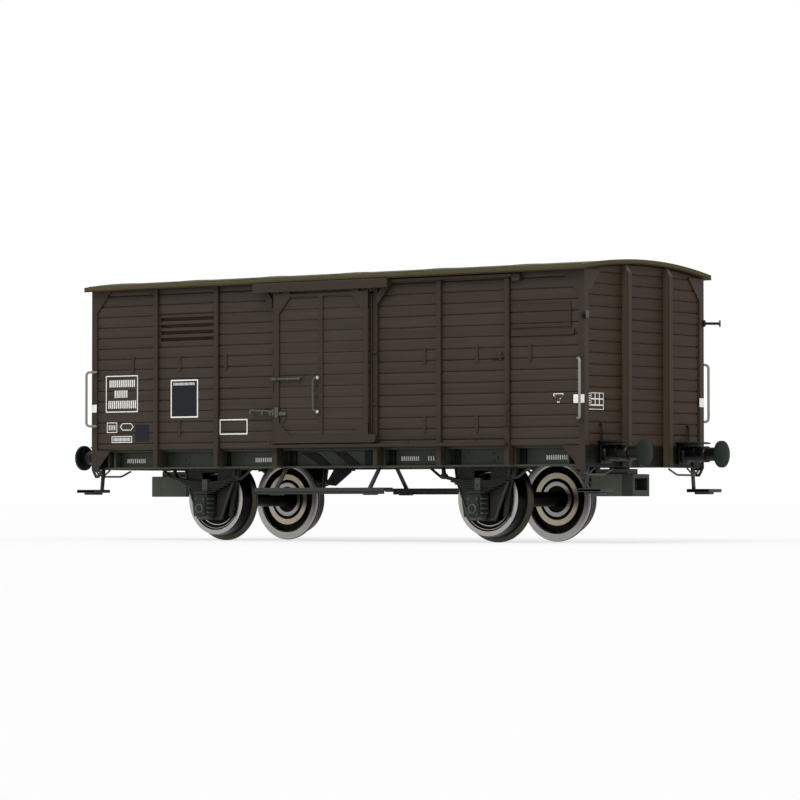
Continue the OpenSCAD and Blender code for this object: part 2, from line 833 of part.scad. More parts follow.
// Towing eyes: a small triangular ring under each corner
module towing_eyes() {
    color(brown) four_corners()
        side_plate(half_w + corner_t, 0.4) difference() {
            polygon([[46.6, corner_foot], [44.5, corner_foot], [45.3, rail + 8.8], [45.9, rail + 8.8]]);
            polygon([[46.1, corner_foot - 0.3], [45.0, corner_foot - 0.3], [45.5, rail + 9.2],
                [45.75, rail + 9.2]]);
        }
}

// ---------------------------------------------------------------- wheelsets

// Half section of a wheel: x is the radius, y runs from the back of the flange to the outer face
module wheel_section() {
    hub = 1.0;
    flange_r = tread_r + flange_h;
    polygon([
        [hub, 0.1], [1.9, 0.1], [1.9, 0.45], [2.5, 0.55], [2.5, 0.25], [3.35, 0.25], [3.35, 0.7],
        [4.35, 0.7], [4.35, 0.1], [4.45, 0], [flange_r - 0.25, 0], [flange_r, 0.3],
        [flange_r - 0.2, 0.65], [tread_r + 0.12, 0.85], [tread_r, 1.0], [tread_r - 0.08, wheel_w - 0.15],
        [tread_r - 0.22, wheel_w], [4.4, wheel_w], [4.3, wheel_w - 0.6], [3.5, wheel_w - 0.75],
        [3.4, wheel_w - 0.45], [2.7, wheel_w - 0.45], [2.6, wheel_w - 0.8], [1.8, wheel_w - 0.8],
        [1.7, wheel_w - 0.3], [hub, wheel_w - 0.3]
    ]);
}

module wheels(x) {
    color(steel) translate([x, 0, axle_z]) both_sides()
        translate([0, -back_to_back / 2, 0]) rotate([90, 0, 0])
            rotate_extrude($fn = 96) wheel_section();
}

module front_wheels() { wheels(axle_x); }
module rear_wheels() { wheels(-axle_x); }

// Axle: thick shaft, wheel seats, journals and pointed ends
module axle(x) {
    seat = back_to_back / 2 + 0.1;
    color(axle_black) translate([x, 0, axle_z]) rotate([90, 0, 0]) {
        translate([0, 0, -seat]) cylinder(h = 2 * seat, r = 1.15);
        translate([0, 0, -wheel_face + 0.3]) cylinder(h = 2 * wheel_face - 0.6, r = 1.0);
        translate([0, 0, -axle_end_y + 0.5]) cylinder(h = 2 * axle_end_y - 1.0, r = journal_r);
        for (s = [0, 1]) mirror([0, 0, s]) translate([0, 0, axle_end_y - 0.5])
            cylinder(h = 0.5, r1 = journal_r, r2 = 0.08);
    }
}

module front_axle() { axle(axle_x); }
module rear_axle() { axle(-axle_x); }

// ---------------------------------------------------------------- nodes

roof();
near_wall_left();
near_wall_right();
near_doorway();
far_wall_left();
far_wall_right();
far_doorway();
front_end_wall();
rear_end_wall();
near_side_posts();
far_side_posts();
corner_posts();
end_posts();
near_door_canopy();
far_door_canopy();
near_door_rails();
far_door_rails();
near_door();
near_door_fittings();
far_door();
far_door_fittings();
louvre_vents();
sheet_hatches();
load_floor();
ballast_weight();
chassis_floor();
near_solebar();
far_solebar();
front_headstock();
rear_headstock();
front_axle_guards();
rear_axle_guards();
front_leaf_springs();
rear_leaf_springs();
front_axle_boxes();
rear_axle_boxes();
brake_links();
brake_crank();
buffer_barrels();
buffer_heads();
buffer_steps();
front_coupler_pocket();
rear_coupler_pocket();
coupler_pivots();
corner_steps();
near_footboard();
far_footboard();
handrails();
lamp_irons();
towing_eyes();
front_wheels();
front_axle();
rear_wheels();
rear_axle();
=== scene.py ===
"""Looks of a two-axle covered goods wagon, a 1:87 scale model.

Lengths are millimetres in the wagon's own frame until a mesh is made: X runs along the
wagon with +X the front end, -Y is the near side and Z is up from the wheel flanges. Heights
named "level" are counted from the rail head, which lies one flange height above the origin.
"""

from __future__ import annotations

import json
import logging
import math
from collections.abc import Iterable, Mapping, Sequence
from dataclasses import dataclass, field
from enum import Enum

import bmesh
import bpy
from mathutils import Matrix, Vector

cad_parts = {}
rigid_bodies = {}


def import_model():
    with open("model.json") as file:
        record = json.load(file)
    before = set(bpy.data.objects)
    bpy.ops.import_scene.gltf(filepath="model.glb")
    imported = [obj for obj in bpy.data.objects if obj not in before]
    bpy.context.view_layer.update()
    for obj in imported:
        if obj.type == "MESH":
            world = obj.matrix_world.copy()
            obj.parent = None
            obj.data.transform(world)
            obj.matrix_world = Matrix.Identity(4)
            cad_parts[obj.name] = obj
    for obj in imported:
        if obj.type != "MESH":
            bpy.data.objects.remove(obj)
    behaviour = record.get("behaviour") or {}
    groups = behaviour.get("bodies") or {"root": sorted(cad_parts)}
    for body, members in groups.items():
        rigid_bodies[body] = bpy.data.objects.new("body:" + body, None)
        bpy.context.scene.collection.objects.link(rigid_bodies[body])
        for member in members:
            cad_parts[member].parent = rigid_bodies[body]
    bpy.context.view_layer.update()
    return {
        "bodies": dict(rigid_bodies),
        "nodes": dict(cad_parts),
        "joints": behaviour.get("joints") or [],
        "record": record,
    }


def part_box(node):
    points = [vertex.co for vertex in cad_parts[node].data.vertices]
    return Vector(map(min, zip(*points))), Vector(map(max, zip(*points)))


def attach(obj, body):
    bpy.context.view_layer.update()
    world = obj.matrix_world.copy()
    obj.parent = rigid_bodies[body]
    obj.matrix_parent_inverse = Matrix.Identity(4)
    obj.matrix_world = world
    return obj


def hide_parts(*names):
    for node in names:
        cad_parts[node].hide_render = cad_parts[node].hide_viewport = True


LOG = logging.getLogger("wagon")
MM = 0.001
SHARP = math.radians(28)
CREASE = math.radians(50)

IDENTITY = Matrix.Identity(4)
MIRROR_X = Matrix.Diagonal((-1, 1, 1, 1))
MIRROR_Y = Matrix.Diagonal((1, -1, 1, 1))
HALF_TURN = Matrix.Diagonal((-1, -1, 1, 1))
FOUR_CORNERS = (IDENTITY, MIRROR_X, MIRROR_Y, HALF_TURN)
BOTH_TURNS = (IDENTITY, HALF_TURN)

Point = Sequence[float]
Colour = tuple[float, float, float]


class Body(Enum):
    """The moving bodies of the frame."""

    WAGON = "wagon"
    FRONT_WHEELSET = "front_wheelset"
    REAR_WHEELSET = "rear_wheelset"
    NEAR_DOOR = "near_sliding_door"
    FAR_DOOR = "far_sliding_door"
    FRONT_POCKET = "front_pocket"
    REAR_POCKET = "rear_pocket"


class Slot(Enum):
    """The record's material slots."""

    BODY = "body_paint"
    ROOF = "roof_paint"
    FRAME = "frame_plastic"
    POCKET = "pocket_plastic"
    FLOOR = "floor_plastic"
    WIRE = "wire"
    WHEEL = "wheel_metal"
    AXLE = "axle_steel"
    BALLAST = "ballast_steel"


class Axis(Enum):
    """The three directions of the wagon's frame."""

    X = 0
    Y = 1
    Z = 2


class Side(Enum):
    """The two long sides: each is the other after half a turn."""

    NEAR = "near"
    FAR = "far"

    @property
    def turn(self) -> Matrix:
        """The matrix that takes a near-side part to this side."""
        return IDENTITY if self is Side.NEAR else HALF_TURN


# ---------------------------------------------------------------- outlines


def fillet(points: Sequence[Point], radius: float, closed: bool = True, steps: int = 4) -> list[Point]:
    """Round the corners of an outline.

    Args:
        points: Corners of the outline, two numbers each.
        radius: Radius of the rounding, cut back where a side is short.
        closed: Whether the last corner joins the first.
        steps: Points along each rounded corner.

    Returns:
        The outline with an arc-like curve at each corner.
    """
    count = len(points)
    rounded: list[Point] = []
    for index, corner in enumerate(points):
        if not closed and index in (0, count - 1):
            rounded.append(corner)
            continue
        here = Vector(corner)
        before = Vector(points[index - 1]) - here
        after = Vector(points[(index + 1) % count]) - here
        reach = min(radius, before.length * 0.48, after.length * 0.48)
        start = here + before.normalized() * reach
        end = here + after.normalized() * reach
        for step in range(steps + 1):
            t = step / steps
            rounded.append(tuple(start * (1 - t) ** 2 + here * 2 * t * (1 - t) + end * t**2))
    return rounded


def offset_loop(points: Sequence[Point], inset: float) -> list[Point]:
    """Move every side of a convex outline inwards.

    Args:
        points: Corners of the outline, anticlockwise.
        inset: Distance to move, in millimetres.

    Returns:
        The corners of the smaller outline.
    """
    count = len(points)
    moved = []
    for index, corner in enumerate(points):
        here = Vector(corner)
        towards = (Vector(points[(index + 1) % count]) - here).normalized()
        back = (Vector(points[index - 1]) - here).normalized()
        half = towards.angle(back) / 2
        moved.append(tuple(here + (towards + back).normalized() * (inset / math.sin(half))))
    return moved


def spaced(start: float, end: float, count: int) -> list[float]:
    """Evenly spaced values from start to end, both included."""
    return [start + (end - start) * i / (count - 1) for i in range(count)]


def on_axis(axis: Axis, along: float, first: float, second: float) -> Vector:
    """The point at a place along an axis, with its other two coordinates in order."""
    return Vector((*(first, second)[: axis.value], along, *(first, second)[axis.value :]))


def rect(left: float, low: float, right: float, high: float) -> list[Point]:
    """Corners of a rectangle, anticlockwise from its lowest left one."""
    return [(left, low), (right, low), (right, high), (left, high)]


# ---------------------------------------------------------------- mesh work


@dataclass
class Solid:
    """Collects closed, softened shells and turns them into one piece.

    Attributes:
        mesh: The shells gathered so far, in millimetres.
    """

    mesh: bmesh.types.BMesh = field(default_factory=bmesh.new)

    def _take(self, part: bmesh.types.BMesh, soft: float, rings: int) -> Solid:
        """Soften the sharp edges of one shell and add it.

        Args:
            part: The shell, which is used up.
            soft: Width of the rounding of its edges, 0 for none.
            rings: Segments across each rounded edge.

        Returns:
            This solid, so that calls chain.
        """
        bmesh.ops.recalc_face_normals(part, faces=part.faces)
        if soft > 0:
            sharp = [e for e in part.edges if e.is_manifold and e.calc_face_angle(0) > SHARP]
            bmesh.ops.bevel(
                part, geom=sharp, offset=soft, segments=rings, profile=0.5,
                affect="EDGES", clamp_overlap=True,
            )
        shell = bpy.data.meshes.new("shell")
        part.to_mesh(shell)
        part.free()
        self.mesh.from_mesh(shell)
        bpy.data.meshes.remove(shell)
        return self

    def prism(
        self, outline: Sequence[Point], axis: Axis, start: float, end: float,
        soft: float = 0.05, rings: int = 2,
    ) -> Solid:
        """Add an outline drawn across an axis and extruded along it.

        Args:
            outline: Corners as the two coordinates other than the axis, in X, Y, Z order.
            axis: Direction of the extrusion.
            start: Where it begins on the axis.
            end: Where it ends on the axis.
            soft: Width of the rounding of its edges.
            rings: Segments across each rounded edge.

        Returns:
            This solid.
        """
        part = bmesh.new()
        ends = []
        for level in (start, end):
            ends.append([part.verts.new(on_axis(axis, level, *corner)) for corner in outline])
        part.faces.new(ends[0])
        part.faces.new(ends[1])
        count = len(outline)
        for i in range(count):
            j = (i + 1) % count
            part.faces.new((ends[0][i], ends[0][j], ends[1][j], ends[1][i]))
        return self._take(part, soft, rings)

    def box(self, low: Point, high: Point, soft: float = 0.05, rings: int = 2) -> Solid:
        """Add a soft-edged block.

        Args:
            low: Lowest corner.
            high: Highest corner.
            soft: Width of the rounding of its edges.
            rings: Segments across each rounded edge.

        Returns:
            This solid.
        """
        outline = rect(low[0], low[1], high[0], high[1])
        return self.prism(outline, Axis.Z, low[2], high[2], soft, rings)

    def lathe(
        self, profile: Sequence[Point], centre: Point, axis: Axis, sides: int = 40,
        metals: Sequence[int] = (),
    ) -> Solid:
        """Add a turned shape.

        Args:
            profile: Points (place along the axis from the centre, radius), from pole to pole.
            centre: Where the axis passes and the profile's zero lies.
            axis: Direction of the axis.
            sides: Number of sides around.
            metals: Number of the finish of each stretch of the profile, where there are several.

        Returns:
            This solid.
        """
        part = bmesh.new()

        def vertex(along: float, first: float, second: float) -> bmesh.types.BMVert:
            """Make a vertex from its place along and across the axis."""
            return part.verts.new(on_axis(axis, along, first, second) + Vector(centre))

        loops = []
        for along, radius in profile:
            if radius < 1e-6:
                loops.append([vertex(along, 0, 0)])
                continue
            turns = [2 * math.pi * k / sides for k in range(sides)]
            loops.append([vertex(along, radius * math.cos(a), radius * math.sin(a)) for a in turns])
        for index, (one, two) in enumerate(zip(loops, loops[1:])):
            for k in range(sides):
                j = (k + 1) % sides
                ring = [one[k % len(one)], one[j % len(one)], two[j % len(two)], two[k % len(two)]]
                corners = list(dict.fromkeys(ring))
                if len(corners) > 2:
                    part.faces.new(corners).material_index = metals[index] if metals else 0
        return self._take(part, 0, 1)

    def disc(
        self, centre: Point, axis: Axis, radius: float, length: float, soft: float = 0.05, sides: int = 24,
    ) -> Solid:
        """Add a short turned block with rounded rims, running along the axis from its centre.

        Args:
            centre: Middle of the first flat face.
            axis: Direction of the axis.
            radius: Radius.
            length: Signed length along the axis.
            soft: Width of the rounding of its rims.
            sides: Number of sides around.

        Returns:
            This solid.
        """
        rim = fillet([(0, 0), (0, radius), (length, radius), (length, 0)], soft, closed=False, steps=2)
        return self.lathe(rim, centre, axis, sides)

    def bolt(self, at: Point, axis: Axis, radius: float = 0.16, height: float = 0.1) -> Solid:
        """Add a domed bolt head that stands on a face.

        Args:
            at: Middle of its base.
            axis: Direction in which it stands.
            radius: Radius of its base.
            height: Signed height.

        Returns:
            This solid.
        """
        dome = [(-height * 0.3, 0), (-height * 0.3, radius), (height * 0.4, radius * 0.96)]
        dome += [(height * 0.8, radius * 0.62), (height, 0)]
        return self.lathe(dome, at, axis, 10)

    def rod(self, path: Sequence[Point], radius: float, bend: float = 0.0, sides: int = 12) -> Solid:
        """Add a wire along a path, with its bends rounded.

        Args:
            path: Corners of the path.
            radius: Radius of the wire.
            bend: Radius of the bends.
            sides: Number of sides around.

        Returns:
            This solid.
        """
        route = [Vector(p) for p in (fillet(path, bend, closed=False, steps=6) if bend else path)]
        part = bmesh.new()
        forward = (route[1] - route[0]).normalized()
        across = forward.orthogonal().normalized()
        loops = []
        for index, place in enumerate(route):
            ahead = route[min(index + 1, len(route) - 1)] - route[max(index - 1, 0)]
            turn = forward.rotation_difference(ahead.normalized())
            forward = ahead.normalized()
            across = turn @ across
            over = forward.cross(across)
            angles = [2 * math.pi * k / sides for k in range(sides)]
            ring = [place + (across * math.cos(a) + over * math.sin(a)) * radius for a in angles]
            loops.append([part.verts.new(p) for p in ring])
        for one, two in zip(loops, loops[1:]):
            for k in range(sides):
                j = (k + 1) % sides
                part.faces.new((one[k], one[j], two[j], two[k]))
        part.faces.new(loops[0])
        part.faces.new(loops[-1])
        return self._take(part, 0, 1)

    def ring(
        self, outer: Sequence[Point], inner: Sequence[Point], axis: Axis, start: float, end: float,
        soft: float = 0.0,
    ) -> Solid:
        """Add a frame between two outlines with as many corners as each other.

        Args:
            outer: Outer outline, as for a prism.
            inner: Inner outline.
            axis: Direction of the extrusion.
            start: Where it begins on the axis.
            end: Where it ends on the axis.
            soft: Width of the rounding of its edges.

        Returns:
            This solid.
        """
        part = bmesh.new()
        rings = []
        for level in (start, end):
            for outline in (outer, inner):
                rings.append([part.verts.new(on_axis(axis, level, *corner)) for corner in outline])
        count = len(outer)
        for one, two in ((rings[0], rings[1]), (rings[2], rings[3]), (rings[0], rings[2]),
                         (rings[1], rings[3])):
            for i in range(count):
                j = (i + 1) % count
                part.faces.new((one[i], one[j], two[j], two[i]))
        return self._take(part, soft, 2)

    def stroke(self, loop: Sequence[Point], line: float, face: float, axis: Axis, out: float) -> Solid:
        """Add a thin painted outline that lies on a flat face.

        Args:
            loop: Outer corners of a convex outline, anticlockwise, in the face's two coordinates.
            line: Width of the line.
            face: Where the face lies on the axis.
            axis: Direction across the face.
            out: Signed thickness of the paint, away from the face.

        Returns:
            This solid.
        """
        return self.ring(loop, offset_loop(loop, line), axis, face, face + out)

    def spread(self, turns: Iterable[Matrix]) -> Solid:
        """Replace the shells by one copy for each matrix.

        Args:
            turns: The matrices, mirrors among them.

        Returns:
            This solid.
        """
        pattern = bpy.data.meshes.new("pattern")
        self.mesh.to_mesh(pattern)
        self.mesh.clear()
        for turn in turns:
            copy = pattern.copy()
            copy.transform(turn)
            if turn.determinant() < 0:
                copy.flip_normals()
            self.mesh.from_mesh(copy)
            bpy.data.meshes.remove(copy)
        bpy.data.meshes.remove(pattern)
        return self

    def piece(
        self, name: str, finish: bpy.types.Material | Sequence[bpy.types.Material], slot: Slot,
        replaces: Iterable[str] = (), body: Body = Body.WAGON, origin: Point = (0, 0, 0),
    ) -> bpy.types.Object:
        """Turn the shells into one object that rides on a body.

        Args:
            name: Name of the piece.
            finish: Its material, or the materials that its faces' numbers stand for.
            slot: The record's slot of its finish.
            replaces: The frame's nodes that it stands for.
            body: The body it moves with.
            origin: Where the object's own origin lies.

        Returns:
            The new object.
        """
        mesh = bpy.data.meshes.new(name)
        self.mesh.to_mesh(mesh)
        self.mesh.free()
        mesh.transform(Matrix.Scale(MM, 4) @ Matrix.Translation(-Vector(origin)))
        mesh.shade_smooth()
        mesh.set_sharp_from_angle(angle=CREASE)
        for material in finish if isinstance(finish, Sequence) else [finish]:
            mesh.materials.append(material)
        thing = bpy.data.objects.new(name, mesh)
        thing.location = Vector(origin) * MM
        bpy.context.scene.collection.objects.link(thing)
        shading = thing.modifiers.new("even_shading", "WEIGHTED_NORMAL")
        shading.keep_sharp = True
        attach(thing, body.value)
        if replaces:
            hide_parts(*replaces)
        LOG.info("%s: %d faces on %s", name, len(mesh.polygons), body.value)
        return thing


# ---------------------------------------------------------------- finishes


class Sheet:
    """A node tree with short ways to add and join its nodes."""

    def __init__(self, tree: bpy.types.NodeTree) -> None:
        """Take hold of a node tree.

        Args:
            tree: The tree to add to.
        """
        self.tree = tree

    def add(
        self, kind: str, values: Mapping[str | int, object] | None = None, **settings: object,
    ) -> bpy.types.Node:
        """Add a node.

        Args:
            kind: The node's type, without the word ShaderNode.
            values: Input names or numbers, each with a value or a socket to link.
            **settings: Properties of the node.

        Returns:
            The new node.
        """
        node = self.tree.nodes.new("ShaderNode" + kind)
        for key, value in settings.items():
            setattr(node, key, value)
        for key, value in (values or {}).items():
            if isinstance(value, bpy.types.NodeSocket):
                self.tree.links.new(value, node.inputs[key])
            else:
                node.inputs[key].default_value = value
        return node

    def maths(self, operation: str, *terms: object, clamp: bool = False) -> bpy.types.NodeSocket:
        """Add a Math node.

        Args:
            operation: The node's operation.
            *terms: Numbers or sockets.
            clamp: Whether the result is kept from 0 to 1.

        Returns:
            The result's socket.
        """
        node = self.add("Math", dict(enumerate(terms)), operation=operation, use_clamp=clamp)
        return node.outputs[0]

    def blend(self, share: object, first: object, second: object, mode: str = "MIX") -> bpy.types.NodeSocket:
        """Add a colour mix.

        Args:
            share: How much of the second colour.
            first: First colour or socket.
            second: Second colour or socket.
            mode: The node's blend type.

        Returns:
            The mixed colour's socket.
        """
        node = self.add("Mix", {0: share, 6: first, 7: second}, data_type="RGBA", blend_type=mode)
        return node.outputs[2]

    def ramp(
        self, value: object, start: float, end: float, low: float = 0.0, high: float = 1.0,
    ) -> bpy.types.NodeSocket:
        """Map a value smoothly from one range to another.

        Args:
            value: The value's socket.
            start: Where the mapping starts.
            end: Where it ends.
            low: Result at the start.
            high: Result at the end.

        Returns:
            The mapped value's socket.
        """
        values = {"Value": value, "From Min": start, "From Max": end, "To Min": low, "To Max": high}
        return self.add("MapRange", values, interpolation_type="SMOOTHSTEP").outputs[0]


class Effects:
    """Shader node groups that several finishes share, each built once."""

    def __init__(self) -> None:
        """Build every group."""
        self.drift = self._tone_drift()
        self.painted_shading = self._groove_shade()
        self.highlight_and_wear = self._edge_highlight_and_wear()
        self.grain = self._moulded_grain()
        self.timber = self._timber_grain()
        self.dust = self._shelf_dust()
        self.rings = self._turned_rings()

    @staticmethod
    def _start(
        name: str, inputs: Mapping[str, object], outputs: Mapping[str, str],
    ) -> tuple[Sheet, dict[str, bpy.types.NodeSocket], bpy.types.Node]:
        """Open a new group.

        Args:
            name: The group's name.
            inputs: Input names with their default numbers or colours.
            outputs: Output names with their kinds, Float or Color.

        Returns:
            The group's sheet, its input sockets by name, and its output node.
        """
        tree = bpy.data.node_groups.new(name, "ShaderNodeTree")
        for label, value in inputs.items():
            kind = "NodeSocketFloat" if isinstance(value, float) else "NodeSocketColor"
            socket = tree.interface.new_socket(label, in_out="INPUT", socket_type=kind)
            socket.default_value = value
        for label, kind in outputs.items():
            tree.interface.new_socket(label, in_out="OUTPUT", socket_type="NodeSocket" + kind)
        given = tree.nodes.new("NodeGroupInput")
        result = tree.nodes.new("NodeGroupOutput")
        return Sheet(tree), {s.name: s for s in given.outputs if s.name}, result

    def _tone_drift(self) -> bpy.types.NodeTree:
        """Group that varies a colour in soft patches, and from one board to the next.

        Returns:
            The finished group.
        """
        sheet, given, result = self._start(
            "tone_drift", {"Color": (0.5, 0.5, 0.5, 1.0), "Amount": 0.1, "Boards": 0.05, "Scale": 120.0},
            {"Color": "Color"},
        )
        place = sheet.add("TexCoord").outputs["Object"]
        patch = sheet.add("TexNoise",
                          {"Vector": place, "Scale": given["Scale"], "Detail": 3.0, "Roughness": 0.6})
        island = sheet.add("NewGeometry").outputs["Random Per Island"]
        patches = sheet.maths("MULTIPLY", sheet.maths("SUBTRACT", patch.outputs[0], 0.5), given["Amount"])
        boards = sheet.maths("MULTIPLY", sheet.maths("SUBTRACT", island, 0.5), given["Boards"])
        level = sheet.maths("ADD", sheet.maths("ADD", patches, boards), 1.0)
        tone = sheet.add("HueSaturation", {"Color": given["Color"], "Value": level})
        sheet.tree.links.new(tone.outputs[0], result.inputs["Color"])
        return sheet.tree

    def _groove_shade(self) -> bpy.types.NodeTree:
        """Group that finds grooves and inner corners, where shade is painted into the colour.

        Returns:
            The finished group.
        """
        sheet, given, result = self._start("groove_shade", {"Reach": 0.0004, "Depth": 1.0},
                                           {"Mask": "Float"})
        open_sky = sheet.add("AmbientOcclusion", {"Distance": given["Reach"]}, samples=6, only_local=True)
        shut = sheet.maths("SUBTRACT", 1.0, open_sky.outputs["AO"])
        sheet.tree.links.new(sheet.maths("MULTIPLY", shut, given["Depth"], clamp=True),
                             result.inputs["Mask"])
        return sheet.tree

    def _edge_highlight_and_wear(self) -> bpy.types.NodeTree:
        """Group that finds outer edges, where a highlight is painted into the colour, broken up in patches
        like paint rubbed thin.

        Returns:
            The finished group.
        """
        sheet, given, result = self._start("edge_highlight_and_wear", {"Reach": 0.0001, "Scale": 900.0}, {"Mask": "Float"})
        flat = sheet.add("NewGeometry").outputs["Normal"]
        rounded = sheet.add("Bevel", {"Radius": given["Reach"]}, samples=4).outputs[0]
        same = sheet.add("VectorMath", {0: flat, 1: rounded}, operation="DOT_PRODUCT").outputs["Value"]
        edge = sheet.ramp(sheet.maths("SUBTRACT", 1.0, same), 0.02, 0.22)
        place = sheet.add("TexCoord").outputs["Object"]
        chips = sheet.add("TexNoise", {"Vector": place, "Scale": given["Scale"], "Detail": 2.0}).outputs[0]
        broken = sheet.ramp(chips, 0.3, 0.65, 0.35, 1.0)
        sheet.tree.links.new(sheet.maths("MULTIPLY", edge, broken), result.inputs["Mask"])
        return sheet.tree

    def _moulded_grain(self) -> bpy.types.NodeTree:
        """Group with the fine orange-peel height of sprayed or moulded plastic.

        Returns:
            The finished group.
        """
        sheet, given, result = self._start("moulded_grain", {"Scale": 4000.0}, {"Height": "Float"})
        place = sheet.add("TexCoord").outputs["Object"]
        peel = sheet.add("TexNoise",
                         {"Vector": place, "Scale": given["Scale"], "Detail": 2.0, "Roughness": 0.5})
        sheet.tree.links.new(peel.outputs[0], result.inputs["Height"])
        return sheet.tree

    def _timber_grain(self) -> bpy.types.NodeTree:
        """Group with long fibres along the boards, as height and as a mask of streaks.

        Returns:
            The finished group.
        """
        sheet, given, result = self._start(
            "timber_grain", {"Lengthwise": 60.0, "Crosswise": 2200.0},
            {"Height": "Float", "Streak": "Float"},
        )
        place = sheet.add("TexCoord").outputs["Object"]
        stretch = sheet.add(
            "CombineXYZ", {"X": given["Lengthwise"], "Y": given["Lengthwise"], "Z": given["Crosswise"]},
        ).outputs[0]
        along = sheet.add("VectorMath", {0: place, 1: stretch}, operation="MULTIPLY").outputs[0]
        island = sheet.add("NewGeometry").outputs["Random Per Island"]
        moved = sheet.add("VectorMath", {0: along, 1: sheet.maths("MULTIPLY", island, 40.0)},
                          operation="ADD").outputs[0]
        fibre = sheet.add("TexNoise",
                          {"Vector": moved, "Scale": 1.0, "Detail": 4.0, "Roughness": 0.65}).outputs[0]
        sheet.tree.links.new(fibre, result.inputs["Height"])
        sheet.tree.links.new(sheet.ramp(fibre, 0.35, 0.7), result.inputs["Streak"])
        return sheet.tree

    def _shelf_dust(self) -> bpy.types.NodeTree:
        """Group that finds faces that look up, where a little dust lies.

        Returns:
            The finished group.
        """
        sheet, given, result = self._start("shelf_dust", {"Amount": 0.2}, {"Mask": "Float"})
        normal = sheet.add("SeparateXYZ", {0: sheet.add("NewGeometry").outputs["Normal"]}).outputs["Z"]
        place = sheet.add("TexCoord").outputs["Object"]
        cloud = sheet.add("TexNoise", {"Vector": place, "Scale": 500.0, "Detail": 3.0}).outputs[0]
        lying = sheet.maths("MULTIPLY", sheet.ramp(normal, 0.5, 0.95), sheet.ramp(cloud, 0.3, 0.75))
        sheet.tree.links.new(sheet.maths("MULTIPLY", lying, given["Amount"]), result.inputs["Mask"])
        return sheet.tree

    def _turned_rings(self) -> bpy.types.NodeTree:
        """Group for turned metal about the object's own Y axis: the radius, and the tool's fine rings.

        Returns:
            The finished group.
        """
        sheet, given, result = self._start(
            "turned_rings", {"Pitch": 0.00018}, {"Radius": "Float", "Height": "Float"},
        )
        place = sheet.add("TexCoord").outputs["Object"]
        flat = sheet.add("VectorMath", {0: place, 1: (1.0, 0.0, 1.0)}, operation="MULTIPLY").outputs[0]
        radius = sheet.add("VectorMath", {0: flat}, operation="LENGTH").outputs["Value"]
        turns = sheet.maths("DIVIDE", radius, given["Pitch"])
        ring = sheet.add("TexNoise", {"W": turns, "Scale": 1.0, "Detail": 2.0},
                         noise_dimensions="1D").outputs[0]
        sheet.tree.links.new(radius, result.inputs["Radius"])
        sheet.tree.links.new(ring, result.inputs["Height"])
        return sheet.tree


def new_material(name: str) -> tuple[bpy.types.Material, Sheet, bpy.types.Node]:
    """Open a new material.

    Args:
        name: The material's name.

    Returns:
        The material, its sheet, and its Principled shader.
    """
    material = bpy.data.materials.new(name)
    material.use_nodes = True
    return material, Sheet(material.node_tree), material.node_tree.nodes["Principled BSDF"]


def grey(level: float) -> tuple[float, float, float, float]:
    """A neutral colour of the given level."""
    return (level, level, level, 1.0)


